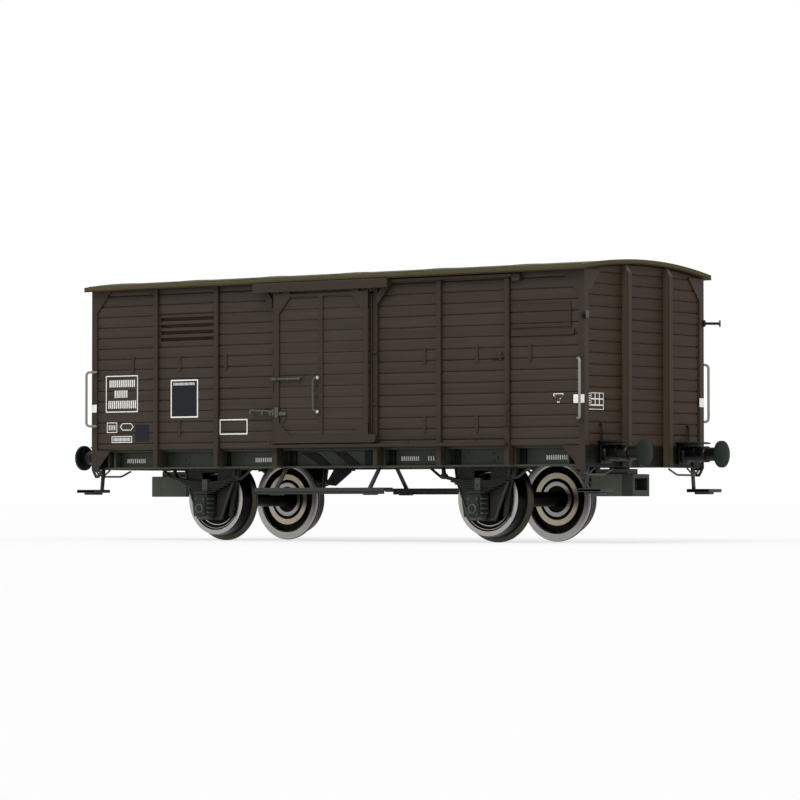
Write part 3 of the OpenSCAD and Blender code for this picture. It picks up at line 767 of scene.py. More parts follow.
@dataclass(frozen=True)
class Paint:
    """Sprayed or moulded satin plastic.

    Attributes:
        name: Name of the finish.
        colour: Its linear colour.
        edge: The lighter colour of its timber streaks, and of its edges, where it is a painted highlight
            broken up like paint rubbed thin.
        rough: Roughness.
        sheen: Specular level.
        drift: How much the colour varies in patches.
        boards: How much it varies from one board to the next.
        timber: Height of the timber fibres, in metres.
        peel: Height of the orange peel, in metres.
        highlight_and_wear: How strongly the painted highlight, broken up like paint rubbed thin, lightens
            its edges.
        painted_shading: How strongly its grooves and inner corners take the painted shading colour.
        dust: How much dust lies on its upper faces.
        shading_colour: The colour painted into its grooves and inner corners as shading, where it isn't
            simply a darker shade.
    """

    name: str
    colour: Colour
    edge: Colour
    rough: float = 0.6
    sheen: float = 0.2
    drift: float = 0.18
    boards: float = 0.0
    timber: float = 0.0
    peel: float = 0.000004
    highlight_and_wear: float = 0.3
    painted_shading: float = 0.7
    dust: float = 0.1
    shading_colour: Colour | None = None

    def make(self, effects: Effects) -> bpy.types.Material:
        """Build the material.

        Args:
            effects: The shared node groups.

        Returns:
            The material.
        """
        material, sheet, shader = new_material(self.name)
        links = sheet.tree.links
        base = sheet.add("Group", node_tree=effects.drift)
        base.inputs["Color"].default_value = (*self.colour, 1.0)
        base.inputs["Amount"].default_value = self.drift
        base.inputs["Boards"].default_value = self.boards
        colour = base.outputs["Color"]
        peel = sheet.add("Group", node_tree=effects.grain).outputs["Height"]
        height = sheet.maths("MULTIPLY", peel, self.peel)
        if self.timber:
            timber = sheet.add("Group", node_tree=effects.timber)
            fibres = sheet.maths("MULTIPLY", timber.outputs["Height"], self.timber)
            height = sheet.maths("ADD", height, fibres)
            streak = sheet.maths("MULTIPLY", timber.outputs["Streak"], 0.16)
            colour = sheet.blend(streak, colour, (*self.edge, 1.0))
        # Painted shade: an occlusion mask finds grooves and inner corners and blends them towards the
        # shading colour, which is a darker shade of the paint unless one is given.
        painted_shading = sheet.add("Group", node_tree=effects.painted_shading).outputs["Mask"]
        dark = (*(self.shading_colour or [c * 0.22 for c in self.colour]), 1.0)
        colour = sheet.blend(sheet.maths("MULTIPLY", painted_shading, self.painted_shading), colour, dark)
        dust = sheet.add("Group", {"Amount": self.dust}, node_tree=effects.dust).outputs["Mask"]
        colour = sheet.blend(dust, colour, grey(0.22))
        # Painted highlight: outer edges blend towards the lighter edge colour, broken up in patches like
        # paint rubbed thin.
        highlight_and_wear_mask = sheet.add("Group", node_tree=effects.highlight_and_wear).outputs["Mask"]
        colour = sheet.blend(sheet.maths("MULTIPLY", highlight_and_wear_mask, self.highlight_and_wear), colour, (*self.edge, 1.0))
        links.new(colour, shader.inputs["Base Color"])
        rough = sheet.maths("ADD", sheet.maths("MULTIPLY", peel, 0.12), self.rough - 0.06)
        links.new(sheet.maths("SUBTRACT", rough, sheet.maths("MULTIPLY", highlight_and_wear_mask, 0.1)),
                  shader.inputs["Roughness"])
        bump = sheet.add("Bump", {"Height": height, "Distance": 1.0, "Strength": 1.0})
        links.new(bump.outputs[0], shader.inputs["Normal"])
        shader.inputs["Specular IOR Level"].default_value = self.sheen
        return material


@dataclass(frozen=True)
class TurnedMetal:
    """Turned or rolled metal about the object's own Y axis.

    Attributes:
        name: Name of the finish.
        colour: Its linear colour.
        rough: Roughness.
        metallic: 1 for bare metal, less where it is blackened.
        tool: How strongly the tool's rings show.
    """

    name: str
    colour: Colour
    rough: float = 0.36
    metallic: float = 1.0
    tool: float = 0.6

    def make(self, effects: Effects) -> bpy.types.Material:
        """Build the material.

        Args:
            effects: The shared node groups.

        Returns:
            The material.
        """
        material, sheet, shader = new_material(self.name)
        links = sheet.tree.links
        base = sheet.add("Group", node_tree=effects.drift)
        base.inputs["Color"].default_value = (*self.colour, 1.0)
        base.inputs["Amount"].default_value = 0.25
        base.inputs["Boards"].default_value = 0.0
        base.inputs["Scale"].default_value = 700.0
        rings = sheet.add("Group", node_tree=effects.rings).outputs["Height"]
        # Painted shade: the metal's grooves and inner corners blend towards a darker shade of its colour.
        painted_shading = sheet.add("Group", {"Reach": 0.0005}, node_tree=effects.painted_shading).outputs["Mask"]
        shade = (*(c * 0.25 for c in self.colour), 1.0)
        colour = sheet.blend(sheet.maths("MULTIPLY", painted_shading, 0.55), base.outputs["Color"], shade)
        streak = (*(c * 0.62 for c in self.colour), 1.0)
        colour = sheet.blend(sheet.maths("MULTIPLY", rings, 0.35), colour, streak)
        links.new(colour, shader.inputs["Base Color"])
        shine = sheet.maths("ADD", sheet.maths("MULTIPLY", rings, 0.2), self.rough - 0.1)
        links.new(shine, shader.inputs["Roughness"])
        bump = sheet.add("Bump", {"Height": rings, "Distance": 0.00001, "Strength": self.tool})
        links.new(bump.outputs[0], shader.inputs["Normal"])
        shader.inputs["Metallic"].default_value = self.metallic
        return material


class Palette:
    """Every finish of the wagon, built once."""

    def __init__(self) -> None:
        """Build the materials."""
        make = Effects()
        brown, brown_edge = (0.0296, 0.0202, 0.0136), (0.078, 0.061, 0.05)
        # Colours painted into grooves and inner corners as shading: a darker, redder brown for the ironwork,
        # near black for the black parts, and for the board joints a lighter brown, painted light that
        # offsets their shade.
        brown_shading = (0.022, 0.0125, 0.006)
        plank, joint_painted_light = (0.0325, 0.0235, 0.0168), (0.074, 0.047, 0.019)
        green_edge, shading_colour = (0.05, 0.06, 0.051), (0.003, 0.0035, 0.003)
        self.boards = Paint(
            "painted_boards", plank, brown_edge, rough=0.62, boards=0.16, timber=0.000012, highlight_and_wear=0.18,
            painted_shading=0.8,
            shading_colour=joint_painted_light,
        ).make(make)
        # The end boards take their own copy of the board paint, toned for how the end wall is lit: painted
        # light.
        self.end_boards_painted_light = Paint(
            "end_boards_with_painted_light", (0.0297, 0.017, 0.0085), brown_edge, rough=0.62, boards=0.16,
            timber=0.000012, highlight_and_wear=0.18, painted_shading=0.7, shading_colour=joint_painted_light,
        ).make(make)
        self.body = Paint(
            "painted_ironwork", brown, brown_edge, rough=0.55, highlight_and_wear=0.5, painted_shading=0.25, shading_colour=brown_shading,
        ).make(make)
        # A lighter copy of the brown ironwork paint for the ironwork on the ends, standing in for the light
        # on the end faces: painted light.
        self.end_iron_painted_light = Paint(
            "end_ironwork_with_painted_light", (0.034, 0.0215, 0.0125), (0.12, 0.09, 0.07), rough=0.52, highlight_and_wear=0.6,
            painted_shading=0.3,
            shading_colour=brown_shading,
        ).make(make)
        # A still lighter copy that lifts the shade on the end posts' side faces and on the door tracks:
        # painted light.
        self.end_web_painted_light = Paint(
            "end_web_with_painted_light", (0.067, 0.048, 0.032), (0.12, 0.09, 0.07), rough=0.6, painted_shading=0.3,
            shading_colour=brown_shading,
        ).make(make)
        self.roof = Paint(
            "roof_canvas", (0.0565, 0.048, 0.0185), (0.11, 0.11, 0.07), rough=0.72, drift=0.3, peel=0.000012,
            highlight_and_wear=0.4,
        ).make(make)
        self.lining = Paint(
            "roof_lining", (0.03, 0.014, 0.005), (0.05, 0.03, 0.015), rough=0.7, painted_shading=0.2,
        ).make(make)
        self.frame = Paint(
            "frame_black", (0.004, 0.005, 0.0036), green_edge, rough=0.5, sheen=0.15, highlight_and_wear=0.35, shading_colour=shading_colour,
        ).make(make)
        self.gloss = Paint(
            "gloss_black", (0.001, 0.0016, 0.0006), (0.02, 0.023, 0.018), rough=0.32, sheen=0.2, highlight_and_wear=0.2,
            shading_colour=shading_colour,
        ).make(make)
        # A lighter, greener copy of the black frame paint for the solebars, standing in for the light on
        # them: painted light.
        self.solebar = Paint(
            "solebar_black_painted_light", (0.037, 0.043, 0.031), green_edge, rough=0.45, highlight_and_wear=0.5, shading_colour=shading_colour,
        ).make(make)
        self.casting = Paint(
            "casting_black", (0.0155, 0.0186, 0.0118), (0.058, 0.066, 0.05), rough=0.5, highlight_and_wear=0.5,
            peel=0.000009, shading_colour=shading_colour,
        ).make(make)
        # A light copy of the casting paint for the axle boxes' fins, covers, trays and bolts, standing in
        # for their glints: painted highlight.
        self.box_glint = Paint(
            "casting_painted_highlight", (0.046, 0.052, 0.042), (0.12, 0.13, 0.115), rough=0.42, sheen=0.4, highlight_and_wear=0.6,
            peel=0.000008,
            shading_colour=shading_colour,
        ).make(make)
        self.spring = Paint(
            "spring_steel", (0.007, 0.0084, 0.0056), (0.042, 0.048, 0.036), rough=0.48, highlight_and_wear=0.5, painted_shading=0.9,
            shading_colour=shading_colour,
        ).make(make)
        # A light copy of the black for the guards' leg edges and rivets and for the spring buckles, standing
        # in for their highlights: painted highlight.
        self.iron_highlight = Paint(
            "iron_painted_highlight", (0.034, 0.037, 0.03), (0.11, 0.115, 0.1), rough=0.45, sheen=0.35, highlight_and_wear=0.6,
            shading_colour=shading_colour,
        ).make(make)
        self.plate = Paint(
            "guard_plate", (0.018, 0.0165, 0.0105), (0.07, 0.066, 0.052), rough=0.55, highlight_and_wear=0.4,
            peel=0.000008, shading_colour=shading_colour,
        ).make(make)
        self.step = Paint(
            "step_plastic", (0.0234, 0.027, 0.0226), (0.09, 0.1, 0.088), rough=0.48, sheen=0.3, highlight_and_wear=0.5,
            shading_colour=shading_colour,
        ).make(make)
        self.pocket = Paint(
            "pocket_plastic", (0.088, 0.1, 0.076), (0.12, 0.13, 0.11), rough=0.5, highlight_and_wear=0.35,
            shading_colour=(0.006, 0.007, 0.006),
        ).make(make)
        # A darker copy of the pocket's grey for the front pocket's mouth, standing in for the shade on that
        # face: painted shade.
        self.pocket_lip = Paint(
            "pocket_lip", (0.018, 0.024, 0.018), (0.05, 0.06, 0.05), rough=0.45, sheen=0.3,
            shading_colour=(0.001, 0.0012, 0.001),
        ).make(make)
        self.buffer = Paint(
            "buffer_grey", (0.0062, 0.0115, 0.0068), (0.04, 0.05, 0.042), rough=0.48, sheen=0.1, highlight_and_wear=0.3,
        ).make(make)
        self.floor = Paint(
            "floor_planks", (0.05, 0.036, 0.026), (0.1, 0.08, 0.06), rough=0.75, boards=0.3, timber=0.00002,
            painted_shading=0.9,
        ).make(make)
        self.iron = Paint(
            "olive_iron", (0.062, 0.06, 0.045), (0.16, 0.16, 0.13), rough=0.45, sheen=0.35, highlight_and_wear=0.5,
            painted_shading=0.5,
        ).make(make)
        self.wire = Paint(
            "painted_wire", (0.2, 0.2, 0.165), (0.34, 0.34, 0.29), rough=0.42, sheen=0.4, highlight_and_wear=0.4,
            painted_shading=0.4,
        ).make(make)
        self.stud = Paint(
            "bright_stud", (0.5, 0.49, 0.44), (0.85, 0.84, 0.8), rough=0.3, sheen=0.6, highlight_and_wear=0.6, painted_shading=0.5,
        ).make(make)
        self.white = Paint(
            "white_print", (0.8, 0.8, 0.77), (0.92, 0.92, 0.9), rough=0.6, drift=0.06, painted_shading=0.1,
            peel=0.000002,
            highlight_and_wear=0.1,
        ).make(make)
        self.panel = Paint(
            "black_print", (0.006, 0.007, 0.009), (0.03, 0.03, 0.034), rough=0.6, painted_shading=0.2, highlight_and_wear=0.1,
        ).make(make)
        # The wheels' bands: dark metal in the recesses and on the tread; the lighter band on the flange tip
        # is metal rubbed bright and a painted highlight as well.
        self.wheel = TurnedMetal("turned_wheel", (0.42, 0.41, 0.395), rough=0.38).make(make)
        self.wheel_warm = TurnedMetal("warm_wheel", (0.47, 0.4, 0.31), rough=0.34).make(make)
        self.wheel_dark = TurnedMetal("dark_wheel", (0.006, 0.006, 0.005), rough=0.3,
                                      metallic=1.0).make(make)
        self.wheel_worn_highlight = TurnedMetal("worn_wheel_highlight", (0.05, 0.048, 0.036), rough=0.35,
                                      metallic=1.0).make(make)
        self.axle = TurnedMetal("black_axle", (0.004, 0.004, 0.0035), rough=0.4, metallic=1.0).make(make)
        self.ballast = TurnedMetal("ballast_steel", (0.32, 0.32, 0.31), rough=0.45, tool=0.1).make(make)


# ---------------------------------------------------------------- the wagon's main sizes


@dataclass(frozen=True)
class Wagon:
    """Main sizes that the sub-assemblies share, read from the frame's own boxes.

    Attributes:
        rail: Height of the rail head over the wheel flanges.
        half_l: Half the length over the end planking.
        half_w: Half the width over the side planking.
        sill: Underside of the planking.
        floor: Top of the load floor.
        crown: Top of the roof.
        eave_y: Half the width of the roof.
        gable_x: Half the length of the roof.
        sole: Underside of the solebars.
        headstock: Underside of the headstocks.
        axle_x: Distance of each axle from the middle.
        axle_z: Height of the axles.
        wall: Thickness of the walls.
        roof_t: Thickness of the roof.
        roof_rise: Rise of the roof's arc over its eaves.
        plank: Height of one board.
        side_joint: A joint of the side boards above the rail head.
        end_joint: A joint of the end boards above the rail head.
    """

    rail: float
    half_l: float
    half_w: float
    sill: float
    floor: float
    crown: float
    eave_y: float
    gable_x: float
    sole: float
    headstock: float
    axle_x: float
    axle_z: float
    wall: float = 1.0
    roof_t: float = 0.7
    roof_rise: float = 1.4
    plank: float = 1.636
    side_joint: float = 14.05
    end_joint: float = 14.71

    @classmethod
    def from_frame(cls, flange: float = 0.8) -> Wagon:
        """Read the sizes from the frame.

        Args:
            flange: Height of the wheel flanges over the treads.

        Returns:
            The sizes in millimetres.
        """
        wall, roof, doorway = near("near_wall_right"), near("roof"), near("near_doorway")
        wheels, floor, sole = near("front_wheels"), near("load_floor"), near("near_solebar")
        return cls(
            rail=flange, half_l=wall[1].x, half_w=-wall[0].y, sill=doorway[0].z, floor=floor[1].z,
            crown=roof[1].z, eave_y=roof[1].y, gable_x=roof[1].x, sole=sole[0].z,
            headstock=near("front_headstock")[0].z, axle_x=(wheels[0].x + wheels[1].x) / 2,
            axle_z=(wheels[0].z + wheels[1].z) / 2,
        )

    def level(self, height: float) -> float:
        """A height above the rail head, in the wagon's frame."""
        return self.rail + height

    @property
    def roof_r(self) -> float:
        """Radius of the roof's outer arc."""
        return (self.eave_y**2 + self.roof_rise**2) / (2 * self.roof_rise)

    def roof_at(self, y: float, under: float = 0.0) -> float:
        """Height of the roof's arc at y, or of an arc that lies under it.

        Args:
            y: Place across the wagon.
            under: Depth below the outer face.

        Returns:
            The height.
        """
        return self.crown - self.roof_r + math.sqrt((self.roof_r - under) ** 2 - y**2)


def near(node: str) -> tuple[Vector, Vector]:
    """The lowest and highest corner of a frame node, in millimetres."""
    low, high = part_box(node)
    return low / MM, high / MM


@dataclass
class Assembly:
    """A sub-assembly of the wagon.

    Attributes:
        wagon: The shared sizes.
        palette: The finishes.
    """

    wagon: Wagon
    palette: Palette


# ---------------------------------------------------------------- roof and walls


@dataclass
class Roof(Assembly):
    """Arched roof with its rain strips, sheet seams and end hoops.

    Attributes:
        skin: How far the sheet lies under the seams and hoops.
        seam_w: Width of a seam.
        strip_in: Distance of a rain strip from the eave.
        strip_h: Height of a rain strip.
        lining_t: Thickness of the boards under the sheet.
        steps: Points across the arc.
    """

    skin: float = 0.06
    seam_w: float = 0.5
    strip_in: float = 0.55
    strip_h: float = 0.22
    lining_t: float = 0.12
    steps: int = 37

    def _band(self, solid: Solid, low: float, high: float, top: float, bottom: float, soft: float) -> None:
        """Add one stretch of the arch.

        Args:
            solid: The solid that takes it.
            low: Where the stretch begins along the wagon.
            high: Where it ends.
            top: Depth of its upper face under the outer arc.
            bottom: Depth of its lower face under the outer arc.
            soft: Rounding of its edges.
        """
        ys = spaced(-self.wagon.eave_y, self.wagon.eave_y, self.steps)
        upper = [(y, self.wagon.roof_at(y, top)) for y in ys]
        lower = [(y, self.wagon.roof_at(y, bottom)) for y in reversed(ys)]
        solid.prism(upper + lower, Axis.X, low, high, soft, 3)

    def build(self) -> None:
        """Make the roof."""
        wagon = self.wagon
        solid = Solid()
        self._band(solid, -wagon.gable_x, wagon.gable_x, self.skin, wagon.roof_t - self.lining_t, 0.14)
        seams = [k * wagon.gable_x / 3 for k in (-2, -1, 0, 1, 2)]
        for x in seams:
            self._band(solid, x - self.seam_w / 2, x + self.seam_w / 2, 0.0, self.skin * 2, 0.02)
        for x in (-wagon.gable_x + 0.02, wagon.gable_x - 0.62):
            self._band(solid, x, x + 0.6, 0.0, self.skin * 2, 0.03)
        strip_y = wagon.eave_y - self.strip_in
        foot = wagon.roof_at(strip_y, self.skin * 2)
        end = wagon.gable_x - 0.7
        for y in (-strip_y, strip_y):
            section = [(y - 0.16, foot), (y + 0.16, foot), (y + 0.1, foot + self.strip_h),
                       (y - 0.1, foot + self.strip_h)]
            solid.prism(section, Axis.X, -end, end, 0.03)
        solid.piece("roof_sheet", self.palette.roof, Slot.ROOF, ["roof"])
        lining = Solid()
        self._band(lining, -wagon.gable_x, wagon.gable_x, wagon.roof_t - self.lining_t, wagon.roof_t, 0.02)
        lining.piece("roof_lining", self.palette.lining, Slot.ROOF)


@dataclass
class PlankedWalls(Assembly):
    """Boarded side and end walls in two layers, with the cleats across their boards.

    Attributes:
        board_t: Thickness of the outer boards.
        gap: Open joint between two boards.
        round_off: Rounding of the boards' edges.
        doorway: Half the width of the doorway.
        header: Underside of the doorway's header above the rail head.
        vent: The louvre's opening as left, right, low and high, its heights above the rail head.
        cleats: Cleats as place along the wagon, low and high above the rail head.
    """

    board_t: float = 0.6
    gap: float = 0.0
    round_off: float = 0.26
    doorway: float = 8.5
    header: float = 35.6
    vent: tuple[float, float, float, float] = (-32.7, -21.85, 29.75, 33.85)
    cleats: tuple[tuple[float, float, float], ...] = (
        (-38.2, 25.0, 27.5), (-28.7, 25.0, 27.5), (-19.4, 25.0, 27.5), (18.3, 25.0, 27.5),
        (27.7, 25.0, 27.5),
        (37.1, 25.0, 27.5), (-28.7, 15.0, 17.5), (18.3, 15.0, 17.5), (27.7, 15.0, 17.5),
    )

    def _joints(self, first: float, low: float, high: float) -> list[tuple[float, float]]:
        """Boards between two heights.

        Args:
            first: A joint's height above the rail head.
            low: Lowest height.
            high: Highest height.

        Returns:
            The bottom and top of each board.
        """
        start = self.wagon.level(first)
        count = int((high - start) / self.wagon.plank) + 2
        levels = [start + k * self.wagon.plank for k in range(-2, count)]
        inner = [z for z in levels if low + 0.25 < z < high - 0.25]
        edges = [low - self.gap / 2, *inner, high + self.gap / 2]
        return [(a + self.gap / 2, b - self.gap / 2) for a, b in zip(edges, edges[1:])]

    def _side_boards(
        self, solid: Solid, span: tuple[float, float], low: float, high: float, hole: bool = False,
    ) -> None:
        """Add the outer boards and the lining of one stretch of a side wall.

        Args:
            solid: The solid that takes them.
            span: Where the stretch begins and ends along the wagon.
            low: Underside.
            high: Top, cut to the roof where it reaches it.
            hole: Whether the louvre's opening is cut out.
        """
        wagon = self.wagon
        faces = ((wagon.half_w, wagon.half_w - self.board_t, wagon.side_joint, self.round_off),
                 (wagon.half_w - self.board_t, wagon.half_w - wagon.wall, wagon.side_joint + 0.8, 0.05))
        for outer, inner, joint, soft in faces:
            top = min(high, wagon.roof_at(outer, wagon.roof_t))
            for bottom, board_top in self._joints(joint, low, top):
                inner_top = board_top
                if high > top - 0.01 and board_top > top - 0.1:
                    inner_top = wagon.roof_at(inner, wagon.roof_t) - 0.01
                section = [(-outer, bottom), (-inner, bottom), (-inner, inner_top), (-outer, board_top)]
                for x0, x1, z0, z1 in self._around_hole(span, bottom, board_top, hole):
                    if (z0, z1) == (bottom, board_top):
                        solid.prism(section, Axis.X, x0, x1, soft)
                    else:
                        solid.box((x0, -outer, z0), (x1, -inner, z1), soft)

    def _around_hole(
        self, span: tuple[float, float], bottom: float, top: float, hole: bool,
    ) -> list[tuple[float, float, float, float]]:
        """Cut one board around the louvre's opening.

        Args:
            span: The board's ends.
            bottom: Its lower edge.
            top: Its upper edge.
            hole: Whether there is an opening.

        Returns:
            The parts that are left, as left, right, bottom and top.
        """
        left, right, low, high = self.vent
        low, high = self.wagon.level(low), self.wagon.level(high)
        if not hole or top < low or bottom > high:
            return [(*span, bottom, top)]
        parts = [(span[0], left, bottom, top), (right, span[1], bottom, top)]
        if bottom < low - 0.1:
            parts.append((left, right, bottom, low))
        if top > high + 0.1:
            parts.append((left, right, high, top))
        return parts

    def _side(self, side: Side) -> None:
        """Make the two panels, the doorway and the cleats of one side.

        Args:
            side: Which side.
        """
        wagon, name = self.wagon, side.value
        left, right, doorway = Solid(), Solid(), Solid()
        self._side_boards(left, (-wagon.half_l, -self.doorway), wagon.sill, wagon.crown, hole=True)
        self._side_boards(right, (self.doorway, wagon.half_l), wagon.sill, wagon.crown)
        self._side_boards(doorway, (-self.doorway, self.doorway), wagon.level(self.header), wagon.crown)
        self._side_boards(doorway, (-self.doorway, self.doorway), wagon.sill, wagon.floor)
        parts = (("wall_left", left), ("wall_right", right), ("doorway", doorway))
        for part, solid in parts:
            node = f"{name}_{part}"
            solid.spread([side.turn]).piece(f"{node}_boards", self.palette.boards, Slot.BODY, [node])
        cleats = Solid()
        face = -wagon.half_w
        for x, low, high in self.cleats:
            outline = fillet(rect(x - 0.28, wagon.level(low), x + 0.28, wagon.level(high)), 0.24)
            cleats.prism(outline, Axis.Y, face - 0.13, face + 0.05, 0.04)
            for z in (low + 0.4, high - 0.4):
                cleats.bolt((x, face - 0.13, wagon.level(z)), Axis.Y, 0.1, -0.06)
        cleats.spread([side.turn]).piece(f"{name}_plank_cleats", self.palette.body, Slot.BODY)

    def _end(self, name: str, turn: Matrix) -> None:
        """Make one end wall.

        Args:
            name: Front or rear.
            turn: The matrix that takes the front end there.
        """
        wagon = self.wagon
        solid = Solid()
        half = wagon.half_w - wagon.wall
        layers = ((wagon.half_l - self.board_t, wagon.half_l, wagon.end_joint, self.round_off),
                  (wagon.half_l - wagon.wall, wagon.half_l - self.board_t, wagon.end_joint + 0.8, 0.05))
        crown = wagon.roof_at(0, wagon.roof_t)
        side_top = wagon.roof_at(half, wagon.roof_t) - 0.01
        for start, end, joint, soft in layers:
            for bottom, top in self._joints(joint, wagon.sill, crown - 0.3):
                if top < side_top:
                    outline = rect(-half, bottom, half, top)
                elif bottom < side_top:
                    ys = spaced(half, -half, 21)
                    arch = [(y, min(top + 0.5, wagon.roof_at(y, wagon.roof_t) - 0.01)) for y in ys]
                    outline = [(-half, bottom), (half, bottom), *arch]
                else:
                    continue
                solid.prism(outline, Axis.X, start, end, soft)
        node = f"{name}_end_wall"
        # The end boards take the copy of the board paint toned for the end wall's light: painted light.
        solid.spread([turn]).piece(f"{node}_boards", self.palette.end_boards_painted_light, Slot.BODY, [node])

    def build(self) -> None:
        """Make all walls."""
        for side in Side:
            self._side(side)
        self._end("front", IDENTITY)
        self._end("rear", HALF_TURN)


# ---------------------------------------------------------------- posts


@dataclass
class Posts(Assembly):
    """Standing posts of the sides, the corners and the ends, with their bolts and gussets.

    Attributes:
        xs: Side posts of the right half, counted outwards.
        width: Width of a side post.
        out: How far a side post stands off the boards.
        rail_top: Underside of the upper door rail above the rail head.
        flange_y: Outer edge of the solebar's flanges.
        plate: Thickness of a corner angle.
        leg: Width of a corner angle.
        gusset: Width of a corner gusset.
        end_y: Distance of an end post from the middle.
        end_w: Width of an end post.
        end_out: How far an end post stands off the boards.
    """

    xs: tuple[float, float, float] = (9.5, 21.1, 33.25)
    width: float = 0.85
    out: float = 0.5
    rail_top: float = 37.15
    flange_y: float = 14.2
    plate: float = 0.25
    leg: float = 1.1
    gusset: float = 3.9
    end_y: float = 5.3
    end_w: float = 0.8
    end_out: float = 1.15

    def _side(self, side: Side) -> None:
        """Make the posts of one side.

        Args:
            side: Which side.
        """
        wagon, solid = self.wagon, Solid()
        face, foot = wagon.half_w + self.out, wagon.sole + 0.3
        under_roof = wagon.roof_at(face, wagon.roof_t) - 0.03
        half = self.width / 2
        for x in (*(-x for x in self.xs), *self.xs):
            top = under_roof if x < -self.xs[0] - 1 else wagon.level(self.rail_top)
            solid.box((x - half, -face, wagon.sill), (x + half, -wagon.half_w + 0.05, top), 0.1, 3)
            solid.box((x - half, -face, foot), (x + half, -self.flange_y + 0.03, wagon.sill + 0.02), 0.06)
            for step in range(8):
                solid.bolt((x, -face, wagon.sill + 0.9 + step * 2 * wagon.plank), Axis.Y, 0.13, -0.05)
            for z in (foot + 0.5, wagon.sill - 0.6):
                solid.bolt((x + 0.12, -face, z), Axis.Y, 0.12, -0.06)
        name = f"{side.value}_side_posts"
        solid.spread([side.turn]).piece(f"{name}_ribs", self.palette.body, Slot.BODY, [name])

    def _corners(self) -> None:
        """Make the corner angles with their gussets and lower plates."""
        wagon, solid, ends = self.wagon, Solid(), Solid()
        face, end = wagon.half_w + self.plate, wagon.half_l + self.plate
        top = wagon.roof_at(face, wagon.roof_t) - 0.03
        foot = wagon.level(10.0)
        side = [(end, foot), (end - 1.5, foot), (end - 1.5, foot + 0.5), (end - self.gusset, wagon.sill),
                (end - self.leg, wagon.sill), (end - self.leg, top - 3.4), (end - self.gusset, top - 0.2),
                (end - self.gusset, top), (end, top)]
        solid.prism(side, Axis.Y, -face, -wagon.half_w + 0.03, 0.04)
        across = [(-face + 0.02, wagon.sill), (-face + self.leg, wagon.sill), (-face + self.leg, top - 3.4),
                  (-face + self.gusset, top - 0.2), (-face + self.gusset, top), (-face + 0.02, top)]
        ends.prism(across, Axis.X, wagon.half_l - 0.03, end - 0.01, 0.04)
        for step in range(8):
            z = wagon.sill + 0.9 + step * 2 * wagon.plank
            solid.bolt((end - self.leg + 0.28, -face, z), Axis.Y, 0.1, -0.04)
            ends.bolt((end, -face + self.leg - 0.28, z), Axis.X, 0.1, 0.04)
        for along, drop in ((1.6, 0.6), (2.9, 0.6), (1.5, 1.7)):
            solid.bolt((end - along, -face, top - drop), Axis.Y, 0.1, -0.04)
            ends.bolt((end, -face + along, top - drop), Axis.X, 0.1, 0.04)
        solid.spread(FOUR_CORNERS).piece("corner_angles", self.palette.body, Slot.BODY, ["corner_posts"])
        # The angles' parts on the end faces take the copy of the ironwork paint lightened for the ends:
        # painted light.
        ends.spread(FOUR_CORNERS).piece("corner_angles_ends", self.palette.end_iron_painted_light, Slot.BODY)

    def _ends(self) -> None:
        """Make the end posts."""
        wagon, solid, flanges = self.wagon, Solid(), Solid()
        outer = wagon.half_l + self.end_out
        head = wagon.roof_at(self.end_y + self.end_w, wagon.roof_t) - 0.03
        outline = [(wagon.half_l - 0.03, wagon.headstock), (outer, wagon.headstock), (outer, head - 1.1),
                   (wagon.half_l + 0.5, head), (wagon.half_l - 0.03, head)]
        low, high = self.end_y - self.end_w / 2, self.end_y + self.end_w / 2
        solid.prism(outline, Axis.Y, low, high, 0.07, 3)
        flange = [(outer - 0.16, wagon.headstock), (outer + 0.02, wagon.headstock),
                  (outer + 0.02, head - 1.1), (outer - 0.16, head - 0.95)]
        flanges.prism(flange, Axis.Y, low - 0.05, high + 0.05, 0.05, 3)
        for z in (wagon.headstock + 0.7, wagon.headstock + 2.3):
            flanges.bolt((outer + 0.02, self.end_y, z), Axis.X, 0.13, 0.05)
        # The posts' webs take the still lighter copy that lifts the shade on their side faces, and the
        # flanges the copy lightened for the ends: painted light.
        solid.spread(FOUR_CORNERS).piece("end_post_ribs", self.palette.end_web_painted_light, Slot.BODY, ["end_posts"])
        flanges.spread(FOUR_CORNERS).piece("end_post_flanges", self.palette.end_iron_painted_light, Slot.BODY)

    def build(self) -> None:
        """Make all posts."""
        for side in Side:
            self._side(side)
        self._corners()
        self._ends()


# ---------------------------------------------------------------- doors


